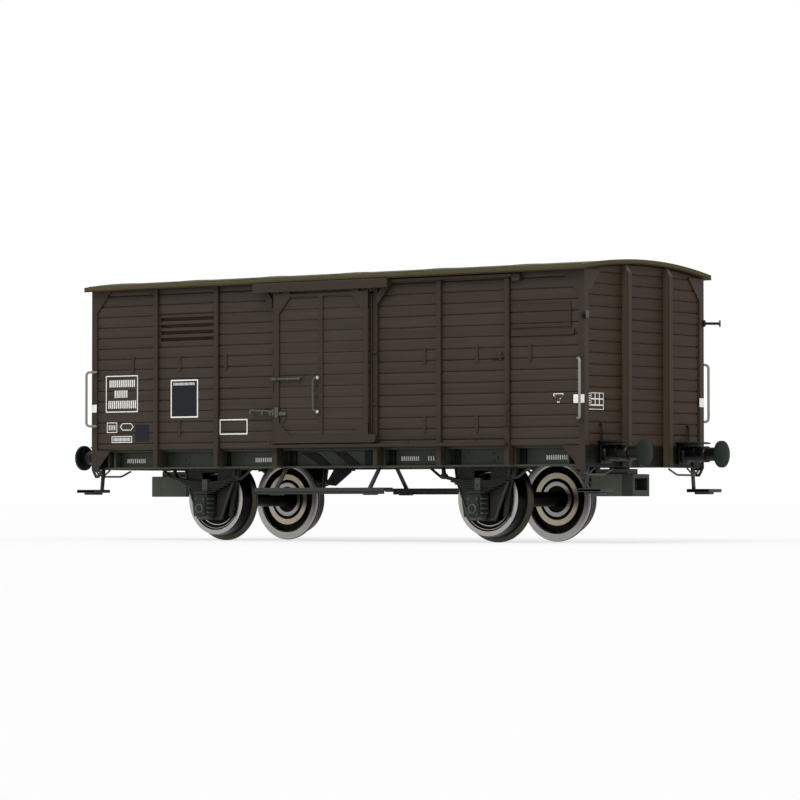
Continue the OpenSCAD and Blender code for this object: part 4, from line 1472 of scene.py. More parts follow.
@dataclass
class SlidingDoor(Assembly):
    """One planked door in its frame, with its rollers, grab handle and latch.

    Attributes:
        side: The side it hangs on.
        half: Half its width over the stiles.
        back: Distance of its back from the middle of the wagon.
        skin: Distance of its boards' face.
        face: Distance of its frame's face.
        top: Its top edge above the rail head.
        foot: Its bottom edge above the rail head.
        stile: Width of a stile.
        bar_half: Half the length of the roller bar.
        bar_h: Height of the roller bar.
        stand: Distance of the handles.
        wire: Radius of the handles' wire.
    """

    side: Side
    half: float = 8.9
    back: float = 15.95
    skin: float = 16.3
    face: float = 16.55
    top: float = 36.05
    foot: float = 13.8
    stile: float = 0.95
    bar_half: float = 10.3
    bar_h: float = 1.2
    stand: float = 17.1
    wire: float = 0.16

    @property
    def body(self) -> Body:
        """The body that the door is."""
        return Body.NEAR_DOOR if self.side is Side.NEAR else Body.FAR_DOOR

    def _leaf(self) -> None:
        """Make the boards and the frame."""
        wagon, boards, frame = self.wagon, Solid(), Solid()
        low, high = wagon.level(self.foot), wagon.level(self.top)
        first = wagon.level(wagon.side_joint)
        joints = [first + k * wagon.plank for k in range(14)]
        inner = [z for z in joints if low + 1.3 < z < high - 0.3]
        for bottom, top in zip([low, *inner], [*inner, high]):
            boards.box((-self.half, -self.skin, bottom), (self.half, -self.back, top), 0.17, 2)
        for x in (-self.half, self.half - self.stile):
            frame.box((x, -self.face, low), (x + self.stile, -self.skin + 0.05, high), 0.07)
        frame.box((-0.4, -self.face + 0.05, low), (0.35, -self.skin + 0.05, high), 0.06)
        frame.box((-self.half, -self.face + 0.04, high - 0.5), (self.half, -self.skin + 0.05, high), 0.06)
        for turn in (-1, 1):
            head = [(-self.half, high), (-self.half + 3.5, high), (-self.half + 1.1, high - 2.8),
                    (-self.half, high - 2.8)]
            shoe = [(-self.half, low), (-self.half + 3.0, low), (-self.half + 3.0, low + self.bar_h),
                    (-self.half + self.stile, low + 3.0), (-self.half, low + 3.0)]
            for outline in (head, shoe):
                turned = [(-turn * x, z) for x, z in outline]
                frame.prism(turned, Axis.Y, -self.face - 0.03, -self.skin + 0.05, 0.04)
            for along, up in ((0.5, -0.5), (0.5, -2.2), (1.9, -0.4)):
                frame.bolt((turn * (self.half - along), -self.face - 0.03, high + up), Axis.Y, 0.11, -0.05)
            for along, up in ((0.5, 0.6), (0.5, 2.3), (2.0, 0.6)):
                frame.bolt((turn * (self.half - along), -self.face - 0.05, low + up), Axis.Y, 0.11, -0.05)
            frame.disc((turn * 9.75, -self.back, low + 0.5), Axis.Y, 0.42, -0.72, 0.08)
            frame.bolt((turn * 9.75, -self.back - 0.72, low + 0.5), Axis.Y, 0.15, -0.08)
            frame.box((turn * 6.5 - 0.6, -self.face, high - 0.05),
                      (turn * 6.5 + 0.6, -self.face + 0.25, high + 1.35), 0.05)
        bar = fillet(rect(-self.bar_half, low, self.bar_half, low + self.bar_h), 0.58, steps=7)
        frame.prism(bar, Axis.Y, -self.face - 0.02, -self.back, 0.05)
        for x in spaced(-7.4, 7.4, 5):
            frame.bolt((x, -self.face - 0.02, low + 0.62), Axis.Y, 0.12, -0.05)
        name = f"{self.side.value}_door"
        boards.spread([self.side.turn]).piece(f"{name}_boards", self.palette.boards, Slot.BODY, [name],
                                              self.body)
        frame.spread([self.side.turn]).piece(f"{name}_frame", self.palette.body, Slot.BODY, body=self.body)

    def _fittings(self) -> None:
        """Make the grab handle, the latch bolt, the hasp and the bright studs."""
        level, wires, studs = self.wagon.level, Solid(), Solid()
        stand, low, high = -self.stand + self.wire, level(18.75), level(23.1)
        wires.rod([(-0.45, stand, high + 0.35), (-1.1, stand, high + 0.1), (-1.05, stand, low - 0.05),
                   (-0.5, stand, low - 0.35)], self.wire, 0.3)
        for z in (low - 0.35, high + 0.35):
            wires.disc((-0.42, -self.face + 0.05, z), Axis.Y, 0.3, -0.2, 0.06)
            cone = [(0.1, 0), (0.1, 0.2), (-0.25, 0.27), (-0.4, 0.2), (-0.47, 0.0)]
            studs.lathe(cone, (-0.42, -self.face, z), Axis.Y, 20)
        bolt_z = level(23.4)
        wires.rod([(-9.15, stand + 0.25, bolt_z), (-3.7, stand + 0.25, bolt_z)], self.wire)
        wires.disc((-3.9, -self.skin + 0.05, bolt_z), Axis.Y, 0.26, -0.75, 0.07)
        wires.disc((-8.45, -self.face + 0.02, bolt_z), Axis.Y, 0.24, -0.5, 0.06)
        wires.disc((-6.1, -self.skin + 0.02, bolt_z), Axis.Y, 0.2, -0.62, 0.06)
        hasp = fillet([(-7.9, level(17.95)), (-6.6, level(17.95)), (-6.55, level(18.4)),
                       (-7.9, level(18.5))], 0.15)
        wires.prism(hasp, Axis.Y, -self.face - 0.08, -self.skin + 0.05, 0.03)
        plate = fillet(rect(-8.6, level(17.6), -8.0, level(19.2)), 0.2)
        wires.prism(plate, Axis.Y, -self.face - 0.2, -self.face + 0.02, 0.05)
        horn = [(-7.6, level(16.9)), (-6.9, level(16.9)), (-6.65, level(17.9)), (-7.8, level(17.9))]
        studs_name = f"{self.side.value}_door_studs"
        shoe = Solid().prism(fillet(horn, 0.15), Axis.Y, -self.skin - 0.12, -self.skin + 0.05, 0.03)
        node = f"{self.side.value}_door_fittings"
        wires.spread([self.side.turn]).piece(f"{node}_wires", self.palette.iron, Slot.WIRE, [node],
                                             self.body)
        studs.spread([self.side.turn]).piece(studs_name, self.palette.stud, Slot.WIRE, body=self.body)
        shoe.spread([self.side.turn]).piece(f"{self.side.value}_door_hook", self.palette.body, Slot.BODY,
                                            body=self.body)

    def build(self) -> None:
        """Make the door."""
        self._leaf()
        self._fittings()


@dataclass
class DoorGuides(Assembly):
    """What a door runs on: the canopy, the upper rail, the lower ledge, and the catches on the wall.

    Attributes:
        side: Which side.
        canopy: Half the length of the canopy.
        canopy_face: Distance of the canopy's face from the middle.
        canopy_low: Lower edge of the canopy above the rail head.
        rail_low: Underside of the upper rail above the rail head.
        rail_h: Height of the upper rail.
        rail_end: End of the upper rail.
        ledge: Underside of the lower ledge above the rail head.
        post: Distance of the side posts' face.
    """

    side: Side
    canopy: float = 12.6
    canopy_face: float = 17.05
    canopy_low: float = 36.35
    rail_low: float = 37.15
    rail_h: float = 0.42
    rail_end: float = 35.7
    ledge: float = 13.15
    post: float = 15.8

    def _canopy(self) -> None:
        """Make the weather board with its shelf and brackets."""
        level, solid = self.wagon.level, Solid()
        low, rail, high = level(self.canopy_low), level(self.rail_low), level(self.rail_low + self.rail_h)
        face, end = self.canopy_face, self.canopy
        solid.box((-end, -face, low), (end, -face + 0.35, high + 0.06), 0.06)
        solid.box((-end, -face + 0.05, high), (end, -self.wagon.half_w, high + 0.13), 0.04)
        bracket_x = 9.925
        outline = [(bracket_x, low - 2.3), (bracket_x + 0.15, low - 2.3), (end - 0.6, low),
                   (end - 0.2, rail),
                   (end - 1.8, rail), (end - 1.9, low), (bracket_x, low - 0.9)]
        for turn in (-1, 1):
            solid.prism([(turn * x, z) for x, z in outline], Axis.Y, -self.post, -self.post + 0.3, 0.05)
            solid.bolt((turn * (bracket_x + 0.3), -self.post, low - 1.45), Axis.Y, 0.11, -0.04)
            solid.box((turn * end - 0.14, -face + 0.05, low + 0.03), (turn * end + 0.14, -self.post, high),
                      0.05)
        node = f"{self.side.value}_door_canopy"
        solid.spread([self.side.turn]).piece(f"{node}_board", self.palette.body, Slot.BODY, [node])

    def _rails(self) -> None:
        """Make the upper rail with its end plate and the lower ledge on its feet."""
        level, wall, solid = self.wagon.level, self.wagon.half_w, Solid()
        low, high = level(self.rail_low), level(self.rail_low + self.rail_h)
        end = self.rail_end
        solid.box((-self.canopy, -wall - 1.0, low), (end - 1.35, -wall, high), 0.05)
        plate = fillet(rect(end - 1.4, low - 0.6, end, high), 0.12)
        solid.prism(plate, Axis.Y, -wall - 0.75, -wall + 0.03, 0.04)
        solid.bolt((end - 0.65, -wall - 0.75, low - 0.1), Axis.Y, 0.17, -0.1)
        ledge, face = level(self.ledge), 16.55
        solid.box((-10.8, -face, ledge), (33.6, -self.post + 0.03, ledge + 0.3), 0.05)
        solid.box((-10.8, -face, ledge + 0.2), (33.6, -face + 0.16, ledge + 0.45), 0.04)
        for x in (-6.2, -1.2, 4.0, 14.8, 27.0):
            foot = rect(x, ledge, x + 0.7, ledge + 0.3)
            solid.prism(foot, Axis.Y, -face + 0.1, -wall, 0.04)
            solid.box((x + 0.05, -wall - 0.25, ledge - 0.05), (x + 0.65, -wall + 0.02, ledge + 0.75), 0.06)
            solid.bolt((x + 0.35, -wall - 0.25, ledge + 0.55), Axis.Y, 0.1, -0.05)
        node = f"{self.side.value}_door_rails"
        solid.spread([self.side.turn]).piece(f"{node}_iron", self.palette.body, Slot.BODY, [node])

    def _catches(self) -> None:
        """Make the lock lever left of the door and the stops on the door's posts."""
        level, wires, stops, track = self.wagon.level, Solid(), Solid(), Solid()
        y = -self.post - 0.28
        wires.rod([(-13.9, y, level(18.85)), (-11.2, y, level(18.75)), (-9.25, y, level(18.5))], 0.15, 0.3)
        for x, z in ((-13.8, 18.85), (-11.5, 18.75), (-9.95, 18.6)):
            tab = fillet([(x - 0.16, level(z)), (x - 0.16, level(z - 0.68)), (x + 0.16, level(z - 0.68)),
                          (x + 0.16, level(z))], 0.14)
            wires.prism(tab, Axis.Y, y - 0.12, y + 0.1, 0.03)
            wires.disc((x, -self.wagon.half_w, level(z)), Axis.Y, 0.13, y + self.wagon.half_w - 0.16, 0.03,
                       14)
        knuckle = fillet(rect(-9.6, level(17.95), -9.18, level(18.95)), 0.16)
        wires.prism(knuckle, Axis.Y, y - 0.15, -self.post + 0.02, 0.05)
        stops.box((-9.72, -self.post - 0.12, level(21.5)), (-9.5, -self.post + 0.02, level(25.0)), 0.04)
        for x, z in ((9.5, 19.3), (9.5, 26.8), (-9.6, 27.6)):
            lug = fillet(rect(x - 0.5, level(z), x + 0.5, level(z + 0.3)),
                         0.1)
            stops.prism(lug, Axis.Y, -self.post - 0.12, -self.post + 0.02, 0.03)
        rest_x = 33.25
        stops.box((rest_x - 0.62, -self.post - 0.28, level(15.95)),
                  (rest_x + 0.75, -self.post + 0.02, level(16.25)), 0.05)
        stops.box((rest_x - 0.5, -self.post - 0.2, level(19.1)),
                  (rest_x + 0.35, -self.post + 0.02, level(19.4)), 0.05)
        stops.rod([(rest_x + 0.1, -self.post - 0.05, level(18.3)),
                   (rest_x + 0.1, -self.post - 0.3, level(18.15)),
                   (rest_x + 0.15, -self.post - 0.3, level(16.2))], 0.13, 0.15)
        stops.box((8.55, -self.post - 0.06, self.wagon.sill), (9.1, -self.wagon.half_w + 0.05, level(35.6)),
                  0.05)
        track.box((-9.0, -self.post - 0.08, level(35.95)), (9.0, -self.wagon.half_w + 0.05, level(36.75)),
                  0.06)
        for x in spaced(-8.4, 8.4, 15):
            track.bolt((x, -self.post - 0.08, level(36.35)), Axis.Y, 0.13, -0.1)
        latch_y = -self.wagon.half_w - 0.12
        stops.box((30.4, latch_y, level(25.6)), (32.1, -self.wagon.half_w + 0.05, level(25.95)), 0.05)
        stops.box((31.7, latch_y - 0.05, level(25.3)), (32.15, -self.wagon.half_w + 0.05, level(26.5)), 0.05)
        stops.rod([(30.3, latch_y - 0.12, level(25.75)), (32.6, latch_y - 0.12, level(25.75))], 0.11)
        side = self.side.value
        wires.spread([self.side.turn]).piece(f"{side}_lock_lever", self.palette.iron, Slot.WIRE)
        stops.spread([self.side.turn]).piece(f"{side}_door_stops", self.palette.body, Slot.BODY)
        # The track under the canopy takes the still lighter copy of the paint, lifting the shade there:
        # painted light.
        track.spread([self.side.turn]).piece(f"{side}_door_track", self.palette.end_web_painted_light, Slot.BODY)

    def build(self) -> None:
        """Make the door's guides."""
        self._canopy()
        self._rails()
        self._catches()


# ---------------------------------------------------------------- vents and floors


@dataclass
class Vents(Assembly):
    """Louvres left of the door and the closed sheet hatch right of it, on both sides.

    Attributes:
        louvre: Left, right, low and high of the louvre, its heights above the rail head.
        slats: How many slats.
        hatch: Left, right, low and high of the hatch.
    """

    louvre: tuple[float, float, float, float] = (-32.7, -21.85, 29.75, 33.85)
    slats: int = 4
    hatch: tuple[float, float, float, float] = (33.9, 44.2, 29.7, 33.35)

    def _joints(self, low: float, high: float) -> list[float]:
        """Heights of the wall's board joints between two heights.

        Args:
            low: The lower height.
            high: The upper height.

        Returns:
            The joints, from the lowest up.
        """
        first = self.wagon.level(self.wagon.side_joint)
        joints = [first + k * self.wagon.plank for k in range(20)]
        return [z for z in joints if low + 0.3 < z < high - 0.3]

    def build(self) -> None:
        """Make the louvres and hatches."""
        level, wall = self.wagon.level, self.wagon.half_w
        left, right, low, high = self.louvre
        pitch = (high - low) / self.slats
        slats, back = Solid(), Solid()
        for index in range(self.slats):
            z = level(low + index * pitch)
            section = [(-wall + 0.02, z + 0.5), (-wall + 0.3, z + 0.42), (-wall + 0.55, z + pitch - 0.06),
                       (-wall + 0.3, z + pitch)]
            slats.prism(section, Axis.X, left, right, 0.04)
            back.box((left, -wall + 0.5, z + 0.05), (right, -wall + 0.75, z + pitch - 0.05), 0.05)
        slats.spread(BOTH_TURNS).piece("louvre_slats", self.palette.boards, Slot.BODY, ["louvre_vents"])
        # The backs are a dark brown sheet behind the slats, standing in for the shaded inside of the vent:
        # painted shade.
        back.spread(BOTH_TURNS).piece("louvre_backs", self.palette.lining, Slot.BODY)
        left, right, low, high = self.hatch
        sheet = Solid()
        joints = [level(low), *self._joints(level(low), level(high)), level(high)]
        for bottom, top in zip(joints, joints[1:]):
            sheet.box((left, -wall - 0.15, bottom), (right, -wall + 0.4, top), 0.2)
        sheet.box((left, -wall - 0.2, level(high - 0.14)), (right, -wall, level(high)), 0.04)
        sheet.box((right - 0.16, -wall - 0.2, level(low)), (right, -wall, level(high)), 0.04)
        sheet.box((left, -wall - 0.3, level(28.65)), (44.8, -wall + 0.03, level(29.45)), 0.06)
        for x in spaced(left + 0.6, right - 0.8, 5):
            sheet.bolt((x, -wall - 0.2, level(high - 0.15)), Axis.Y, 0.08, -0.05)
        sheet.spread(BOTH_TURNS).piece("hatch_sheets", self.palette.body, Slot.BODY, ["sheet_hatches"])


@dataclass
class Floors(Assembly):
    """Boarded load floor, and the chassis plate under it with its bearers.

    Attributes:
        board: Width of a floor board.
        plate: Underside of the chassis plate above the rail head.
        web_y: Inner face of the solebars.
    """

    board: float = 2.0
    plate: float = 12.3
    web_y: float = 12.4

    def build(self) -> None:
        """Make both floors."""
        wagon = self.wagon
        inner_x, inner_y = wagon.half_l - wagon.wall, wagon.half_w - wagon.wall
        boards = Solid()
        count = round(2 * inner_x / self.board)
        edges = spaced(-inner_x, inner_x, count + 1)
        for start, end in zip(edges, edges[1:]):
            boards.box((start + 0.02, -inner_y, wagon.floor - 0.45), (end - 0.02, inner_y, wagon.floor),
                       0.08)
        boards.piece("floor_boards", self.palette.floor, Slot.FLOOR, ["load_floor"])
        chassis, plate = Solid(), wagon.level(self.plate)
        end = wagon.half_l - wagon.wall
        chassis.box((-end, -self.web_y, plate), (end, self.web_y, wagon.sill), 0.05)
        for x in (-42, -34, -15.5, -5, 5, 15.5, 34, 42):
            low = wagon.level(10.9 if abs(x) < 30 else 10.4)
            chassis.box((x - 0.4, -self.web_y, low), (x + 0.4, self.web_y, plate + 0.02), 0.06)
        for y in (-3.6, 3.6):
            chassis.box((-15.5, y - 0.35, wagon.level(10.9)), (15.5, y + 0.35, plate + 0.02), 0.06)
        for x in (-10.2, 0, 10.2):
            for y in (-8.0, 8.0):
                chassis.disc((x, y, plate), Axis.Z, 0.9, -0.25, 0.08, 28)
        chassis.piece("chassis_plate", self.palette.frame, Slot.FRAME, ["chassis_floor"])


# ---------------------------------------------------------------- underframe


@dataclass
class Underframe(Assembly):
    """Solebars with their stiffeners and braces, and headstocks with their plates.

    Attributes:
        web: Outer face of the solebar's web.
        flange: Outer edge of its flanges.
        thick: Thickness of a flange.
        half: Half the length of a solebar.
        head_in: Inner face of a headstock.
        head_half: Half its width.
        stiffeners: Uprights on the web, counted from the middle.
    """

    web: float = 12.7
    flange: float = 14.2
    thick: float = 0.3
    half: float = 45.35
    head_in: float = 45.35
    head_half: float = 15.15
    stiffeners: tuple[float, ...] = (9.9, 21.3, 33.5)

    def _solebar(self, side: Side) -> None:
        """Make one solebar, with what is bolted to it.

        Args:
            side: Which side.
        """
        wagon, solid, dark = self.wagon, Solid(), Solid()
        low, high = wagon.sole, wagon.sill
        section = [(-self.flange, low), (-self.web + 0.3, low), (-self.web + 0.3, high),
                   (-self.flange, high),
                   (-self.flange, high - self.thick), (-self.web, high - self.thick),
                   (-self.web, low + self.thick), (-self.flange, low + self.thick)]
        solid.prism(section, Axis.X, -self.half, self.half, 0.06)
        for x in self.stiffeners:
            for turn in (-1, 1):
                solid.box((turn * x - 0.2, -self.flange + 0.12, low + 0.1),
                          (turn * x + 0.2, -self.web + 0.02, high - 0.1), 0.05)
        braces = ([(-6.7, 2.3), (-3.6, 2.3), (-0.9, 0.32), (-2.8, 0.32)],
                  [(-0.3, 2.3), (1.85, 2.3), (4.7, 0.32), (2.6, 0.32)])
        for outline in braces:
            dark.prism([(x, low + z) for x, z in outline], Axis.Y, -self.web - 0.18, -self.web + 0.02, 0.05)
        uprights = ((-8.7, -7.5), (5.6, 6.9), (10.2, 11.2), (20.4, 20.9), (22.0, 23.0), (33.9, 34.8),
                    (-21.0, -20.4), (-23.1, -22.1), (-34.8, -33.9))
        for start, end in uprights:
            dark.box((start, -self.web - 0.35, low + 0.31), (end, -self.web + 0.02, high - 0.31), 0.06)
        bolts = ((24.4, 12.2), (23.8, 11.4), (28.9, 12.05), (29.6, 11.5), (28.9, 10.95), (0.6, 11.1),
                 (1.5, 10.8),
                 (17.6, 12.1), (18.3, 11.5), (38.2, 11.9), (41.6, 11.9), (41.6, 10.95))
        for x, z in bolts:
            for turn in (-1, 1) if x > 2 else (1,):
                solid.bolt((turn * x, -self.web, wagon.level(z)), Axis.Y, 0.17, -0.13)
        for x in (44.2, 42.9):
            for turn in (-1, 1):
                solid.box((turn * x - 0.18, -self.flange + 0.05, low + 0.32),
                          (turn * x + 0.18, -self.web, high - 0.32), 0.05)
        node = f"{side.value}_solebar"
        # The channel takes the lighter copy of the black frame paint, as painted light on the solebar.
        solid.spread([side.turn]).piece(f"{node}_channel", self.palette.solebar, Slot.FRAME, [node])
        dark.spread([side.turn]).piece(f"{node}_braces", self.palette.frame, Slot.FRAME)

    def _headstock(self, name: str, turn: Matrix) -> None:
        """Make one headstock.

        Args:
            name: Front or rear.
            turn: The matrix that takes the front one there.
        """
        wagon, solid = self.wagon, Solid()
        low, high, face = wagon.headstock, wagon.sill, wagon.half_l
        solid.box((self.head_in, -self.head_half, low), (face - 0.12, self.head_half, high), 0.06)
        for z0, z1 in ((low, low + 0.3), (high - 0.3, high)):
            solid.box((face - 0.3, -self.head_half, z0), (face, self.head_half, z1), 0.05)
        for y in (-1, 1):
            near_y, far_y = sorted((y * 12.7, y * 15.05))
            solid.box((face - 0.2, near_y, low + 0.2), (face + 0.12, far_y, high - 0.1), 0.06)
            for along in (13.3, 14.5):
                for z in (low + 0.6, high - 0.55):
                    solid.bolt((face + 0.12, y * along, z), Axis.X, 0.14, 0.07)
            for along in (6.5, 7.5):
                for z in (low + 0.7, low + 1.5, low + 2.3):
                    solid.bolt((face - 0.12, y * along, z), Axis.X, 0.13, 0.09)
        hook = fillet(rect(-1.6, low + 0.5, 1.6, high - 0.45), 0.3)
        solid.prism(hook, Axis.X, face - 0.15, face + 0.1, 0.05)
        for y in (-1.2, 1.2):
            for z in (low + 0.85, high - 0.8):
                solid.bolt((face + 0.1, y, z), Axis.X, 0.14, 0.08)
        node = f"{name}_headstock"
        solid.spread([turn]).piece(f"{node}_beam", self.palette.frame, Slot.FRAME, [node])

    def build(self) -> None:
        """Make the underframe."""
        for side in Side:
            self._solebar(side)
        self._headstock("front", IDENTITY)
        self._headstock("rear", HALF_TURN)


# ---------------------------------------------------------------- running gear


class End(Enum):
    """The two axles: each is the other after half a turn."""

    FRONT = "front"
    REAR = "rear"

    @property
    def turn(self) -> Matrix:
        """The matrix that takes a front part to this end."""
        return IDENTITY if self is End.FRONT else HALF_TURN


@dataclass
class RunningGear(Assembly):
    """Guards, springs, axle boxes and brake parts of one axle, on both sides.

    Attributes:
        end: Which axle.
        guard: Inner and outer face of the guard plates.
        spring_y: Middle of the springs.
        spring_w: Half their width.
        reach: Half the length of the longest leaf.
        eye: Height of the spring's eyes.
        sag: How far its middle lies lower.
        leaves: Number of leaves.
        leaf: Thickness of a leaf.
        box_y: Outer face of the axle boxes.
    """

    end: End
    guard: tuple[float, float] = (11.0, 11.35)
    spring_y: float = 12.05
    spring_w: float = 0.42
    reach: float = 6.4
    eye: float = 9.0
    sag: float = 0.8
    leaves: int = 7
    leaf: float = 0.22
    box_y: float = 13.75

    def _at(self, points: Sequence[Point]) -> list[Point]:
        """Move an outline from the axle and the rail head into the wagon's frame."""
        return [(self.wagon.axle_x + x, self.wagon.level(z)) for x, z in points]

    def _add(
        self, solid: Solid, name: str, finish: bpy.types.Material, slot: Slot = Slot.FRAME,
        replaces: Iterable[str] = (),
    ) -> None:
        """Copy a near-side part to both sides of this end, and make it a piece of the wagon.

        Args:
            solid: The part.
            name: Name of the piece, without the end's name.
            finish: Its material.
            slot: Its finish in the record.
            replaces: The frame's nodes that it stands for.
        """
        sides = [self.end.turn, self.end.turn @ MIRROR_Y]
        solid.spread(sides).piece(f"{self.end.value}_{name}", finish, slot, replaces)

    def _guards(self) -> None:
        """Make the guard plates with their leg edges and rivets."""
        inner, outer = self.guard
        half = [(1.6, 10.9), (5.1, 10.9), (4.65, 8.0), (2.6, 3.0), (2.3, 2.35), (1.35, 2.35), (1.35, 6.6)]
        plate, ribs = Solid(), Solid()
        for turn in (-1, 1):
            plate.prism(self._at([(turn * x, z) for x, z in half]), Axis.Y, -outer, -inner, 0.06)
            edge = [(5.0, 10.3), (4.63, 8.0), (2.6, 3.02), (2.3, 2.5), (2.1, 2.5), (2.4, 3.1), (4.42, 8.05),
                    (4.78, 10.3)]
            ribs.prism(self._at([(turn * x, z) for x, z in edge]), Axis.Y, -outer - 0.2, -outer + 0.02, 0.06)
            for x, z in ((2.6, 10.1), (3.9, 10.1), (3.6, 9.0), (1.95, 9.3)):
                centre = self._at([(turn * x, z)])[0]
                ribs.bolt((centre[0], -outer, centre[1]), Axis.Y, 0.15, -0.1)
        plate.prism(self._at(rect(-2.3, 2.35, 2.3, 2.85)), Axis.Y, -outer - 0.02, -inner, 0.07)
        plate.prism(self._at(rect(-1.7, 9.6, 1.7, 10.9)), Axis.Y, -outer, -inner, 0.05)
        for x in (-1.8, 1.8):
            place = self._at([(x, 2.6)])[0]
            ribs.bolt((place[0], -outer - 0.02, place[1]), Axis.Y, 0.14, -0.12)
        self._add(plate, "guard_plates", self.palette.plate, replaces=[f"{self.end.value}_axle_guards"])
        # The leg edges and rivets take the light copy of the black as painted highlights.
        self._add(ribs, "guard_edges", self.palette.iron_highlight)

    def _springs(self) -> None:
        """Make the leaf springs with buckles, eyes and hangers."""
        leaves, gear, hangers = Solid(), Solid(), Solid()
        near_y, far_y = -self.spring_y - self.spring_w, -self.spring_y + self.spring_w
        for index in range(self.leaves):
            half = self.reach - index * (self.reach - 1.3) / self.leaves
            xs = spaced(-half, half, 15)

            def curve(x: float, drop: float) -> float:
                """Height of the leaf's face at x."""
                return self.eye - self.sag * (1 - (x / self.reach) ** 2) - drop

            drop = index * (self.leaf + 0.02)
            upper = [(x, curve(x, drop)) for x in xs]
            lower = [(x, curve(x, drop + self.leaf)) for x in reversed(xs)]
            leaves.prism(self._at(upper + lower), Axis.Y, near_y, far_y, 0.05, 2)
        gear.prism(self._at(rect(-0.52, 6.7, 0.52, 8.55)), Axis.Y, near_y - 0.14, far_y + 0.1, 0.07)
        centre = self._at([(0, 7.6)])[0]
        gear.bolt((centre[0], near_y - 0.14, centre[1]), Axis.Y, 0.2, -0.14)
        for turn in (-1, 1):
            hanger = [(6.0, 8.62), (6.8, 8.47), (9.2, 10.15), (8.85, 10.15), (6.85, 8.8), (6.6, 8.95),
                      (6.7, 10.15),
                      (6.4, 10.15)]
            hangers.prism(self._at([(turn * x, z) for x, z in hanger]), Axis.Y, near_y + 0.12, far_y - 0.12,
                          0.06)
            eye = self._at([(turn * 6.35, 8.82)])[0]
            hangers.disc((eye[0], near_y - 0.05, eye[1]), Axis.Y, 0.42, 2 * self.spring_w + 0.1, 0.08, 20)
            hangers.bolt((eye[0], near_y - 0.05, eye[1]), Axis.Y, 0.2, -0.12)
            shoe = self._at([(turn * 8.3, 10.05)])[0]
            hangers.box(
                (shoe[0] - 1.2, near_y - 0.1, shoe[1] - 0.12),
                (shoe[0] + 1.2, far_y + 0.1, self.wagon.sole + 0.05), 0.05,
            )
        self._add(leaves, "spring_leaves", self.palette.spring, replaces=[f"{self.end.value}_leaf_springs"])
        # The buckles take the light copy of the black as a painted highlight.
        self._add(gear, "spring_buckles", self.palette.iron_highlight)
        self._add(hangers, "spring_hangers", self.palette.casting)

    def _boxes(self) -> None:
        """Make the axle boxes with their lids and round covers."""
        solid, lids = Solid(), Solid()
        x0, face = self.wagon.axle_x, -self.box_y
        level = self.wagon.level
        body = fillet(self._at(rect(-1.2, 3.0, 1.2, 6.3)), 0.28)
        solid.prism(body, Axis.Y, face + 0.3, -11.4, 0.08, 3)
        front = fillet(self._at(rect(-0.98, 2.95, 0.98, 5.9)), 0.4)
        solid.prism(front, Axis.Y, face, face + 0.35, 0.09, 3)
        for z in (3.35, 4.05, 4.75, 5.45):
            lids.box((x0 - 1.33, face + 0.35, level(z)), (x0 + 1.33, face + 1.95, level(z + 0.25)), 0.06)
        cap = [(-1.35, 6.3), (1.35, 6.3), (1.35, 6.55), (0.9, 6.66), (-0.9, 6.66), (-1.35, 6.55)]
        solid.prism(self._at(cap), Axis.Y, face + 0.12, -11.4, 0.06)
        tray = [(-0.8, 2.5), (0.8, 2.5), (0.95, 3.02), (-0.95, 3.02)]
        lids.prism(self._at(tray), Axis.Y, face + 0.25, -11.6, 0.07)
        lids.box((x0 - 0.62, face - 0.05, level(2.5)), (x0 + 0.62, face + 0.35, level(2.72)), 0.05)
        rim = [(0.05, 0.5), (0.05, 0.74), (-0.14, 0.74), (-0.2, 0.68), (-0.2, 0.56), (-0.12, 0.5)]
        cover = [(0.05, 0), (0.05, 0.5), (-0.1, 0.5), (-0.12, 0.2), (-0.22, 0.15), (-0.22, 0)]
        solid.lathe(cover, (x0, face, level(4.1)), Axis.Y, 36)
        lids.lathe([*rim, rim[0]], (x0, face, level(4.1)), Axis.Y, 36)
        for turn in (-1, 1):
            for z in (3.3, 5.5):
                lids.bolt((x0 + turn * 0.72, face, level(z)), Axis.Y, 0.14, -0.1)
        self._add(solid, "box_castings", self.palette.casting, replaces=[f"{self.end.value}_axle_boxes"])
        # The fins, trays, cover rims and bolts take the light casting copy as painted highlights.
        self._add(lids, "box_covers", self.palette.box_glint)

    def _brakes(self) -> None:
        """Make the brake hangers and the small brackets over them."""
        solid = Solid()
        for turn in (-1, 1):
            link = [(4.2, 12.3), (4.9, 12.3), (4.75, 9.0), (3.85, 2.9), (3.1, 2.9), (3.75, 7.0)]
            solid.prism(self._at([(turn * x, z) for x, z in link]), Axis.Y, -10.65, -10.35, 0.06)
            edge = [(4.78, 9.4), (4.9, 9.4), (3.92, 3.1), (3.8, 3.1)]
            solid.prism(self._at([(turn * x - turn * 0.05, z) for x, z in edge]), Axis.Y, -10.65, -10.25,
                        0.03)
        replaced = ["brake_links"] if self.end is End.FRONT else []
        self._add(solid, "brake_hangers", self.palette.casting, replaces=replaced)

    def build(self) -> None:
        """Make everything around one axle."""
        self._guards()
        self._springs()
        self._boxes()
        self._brakes()


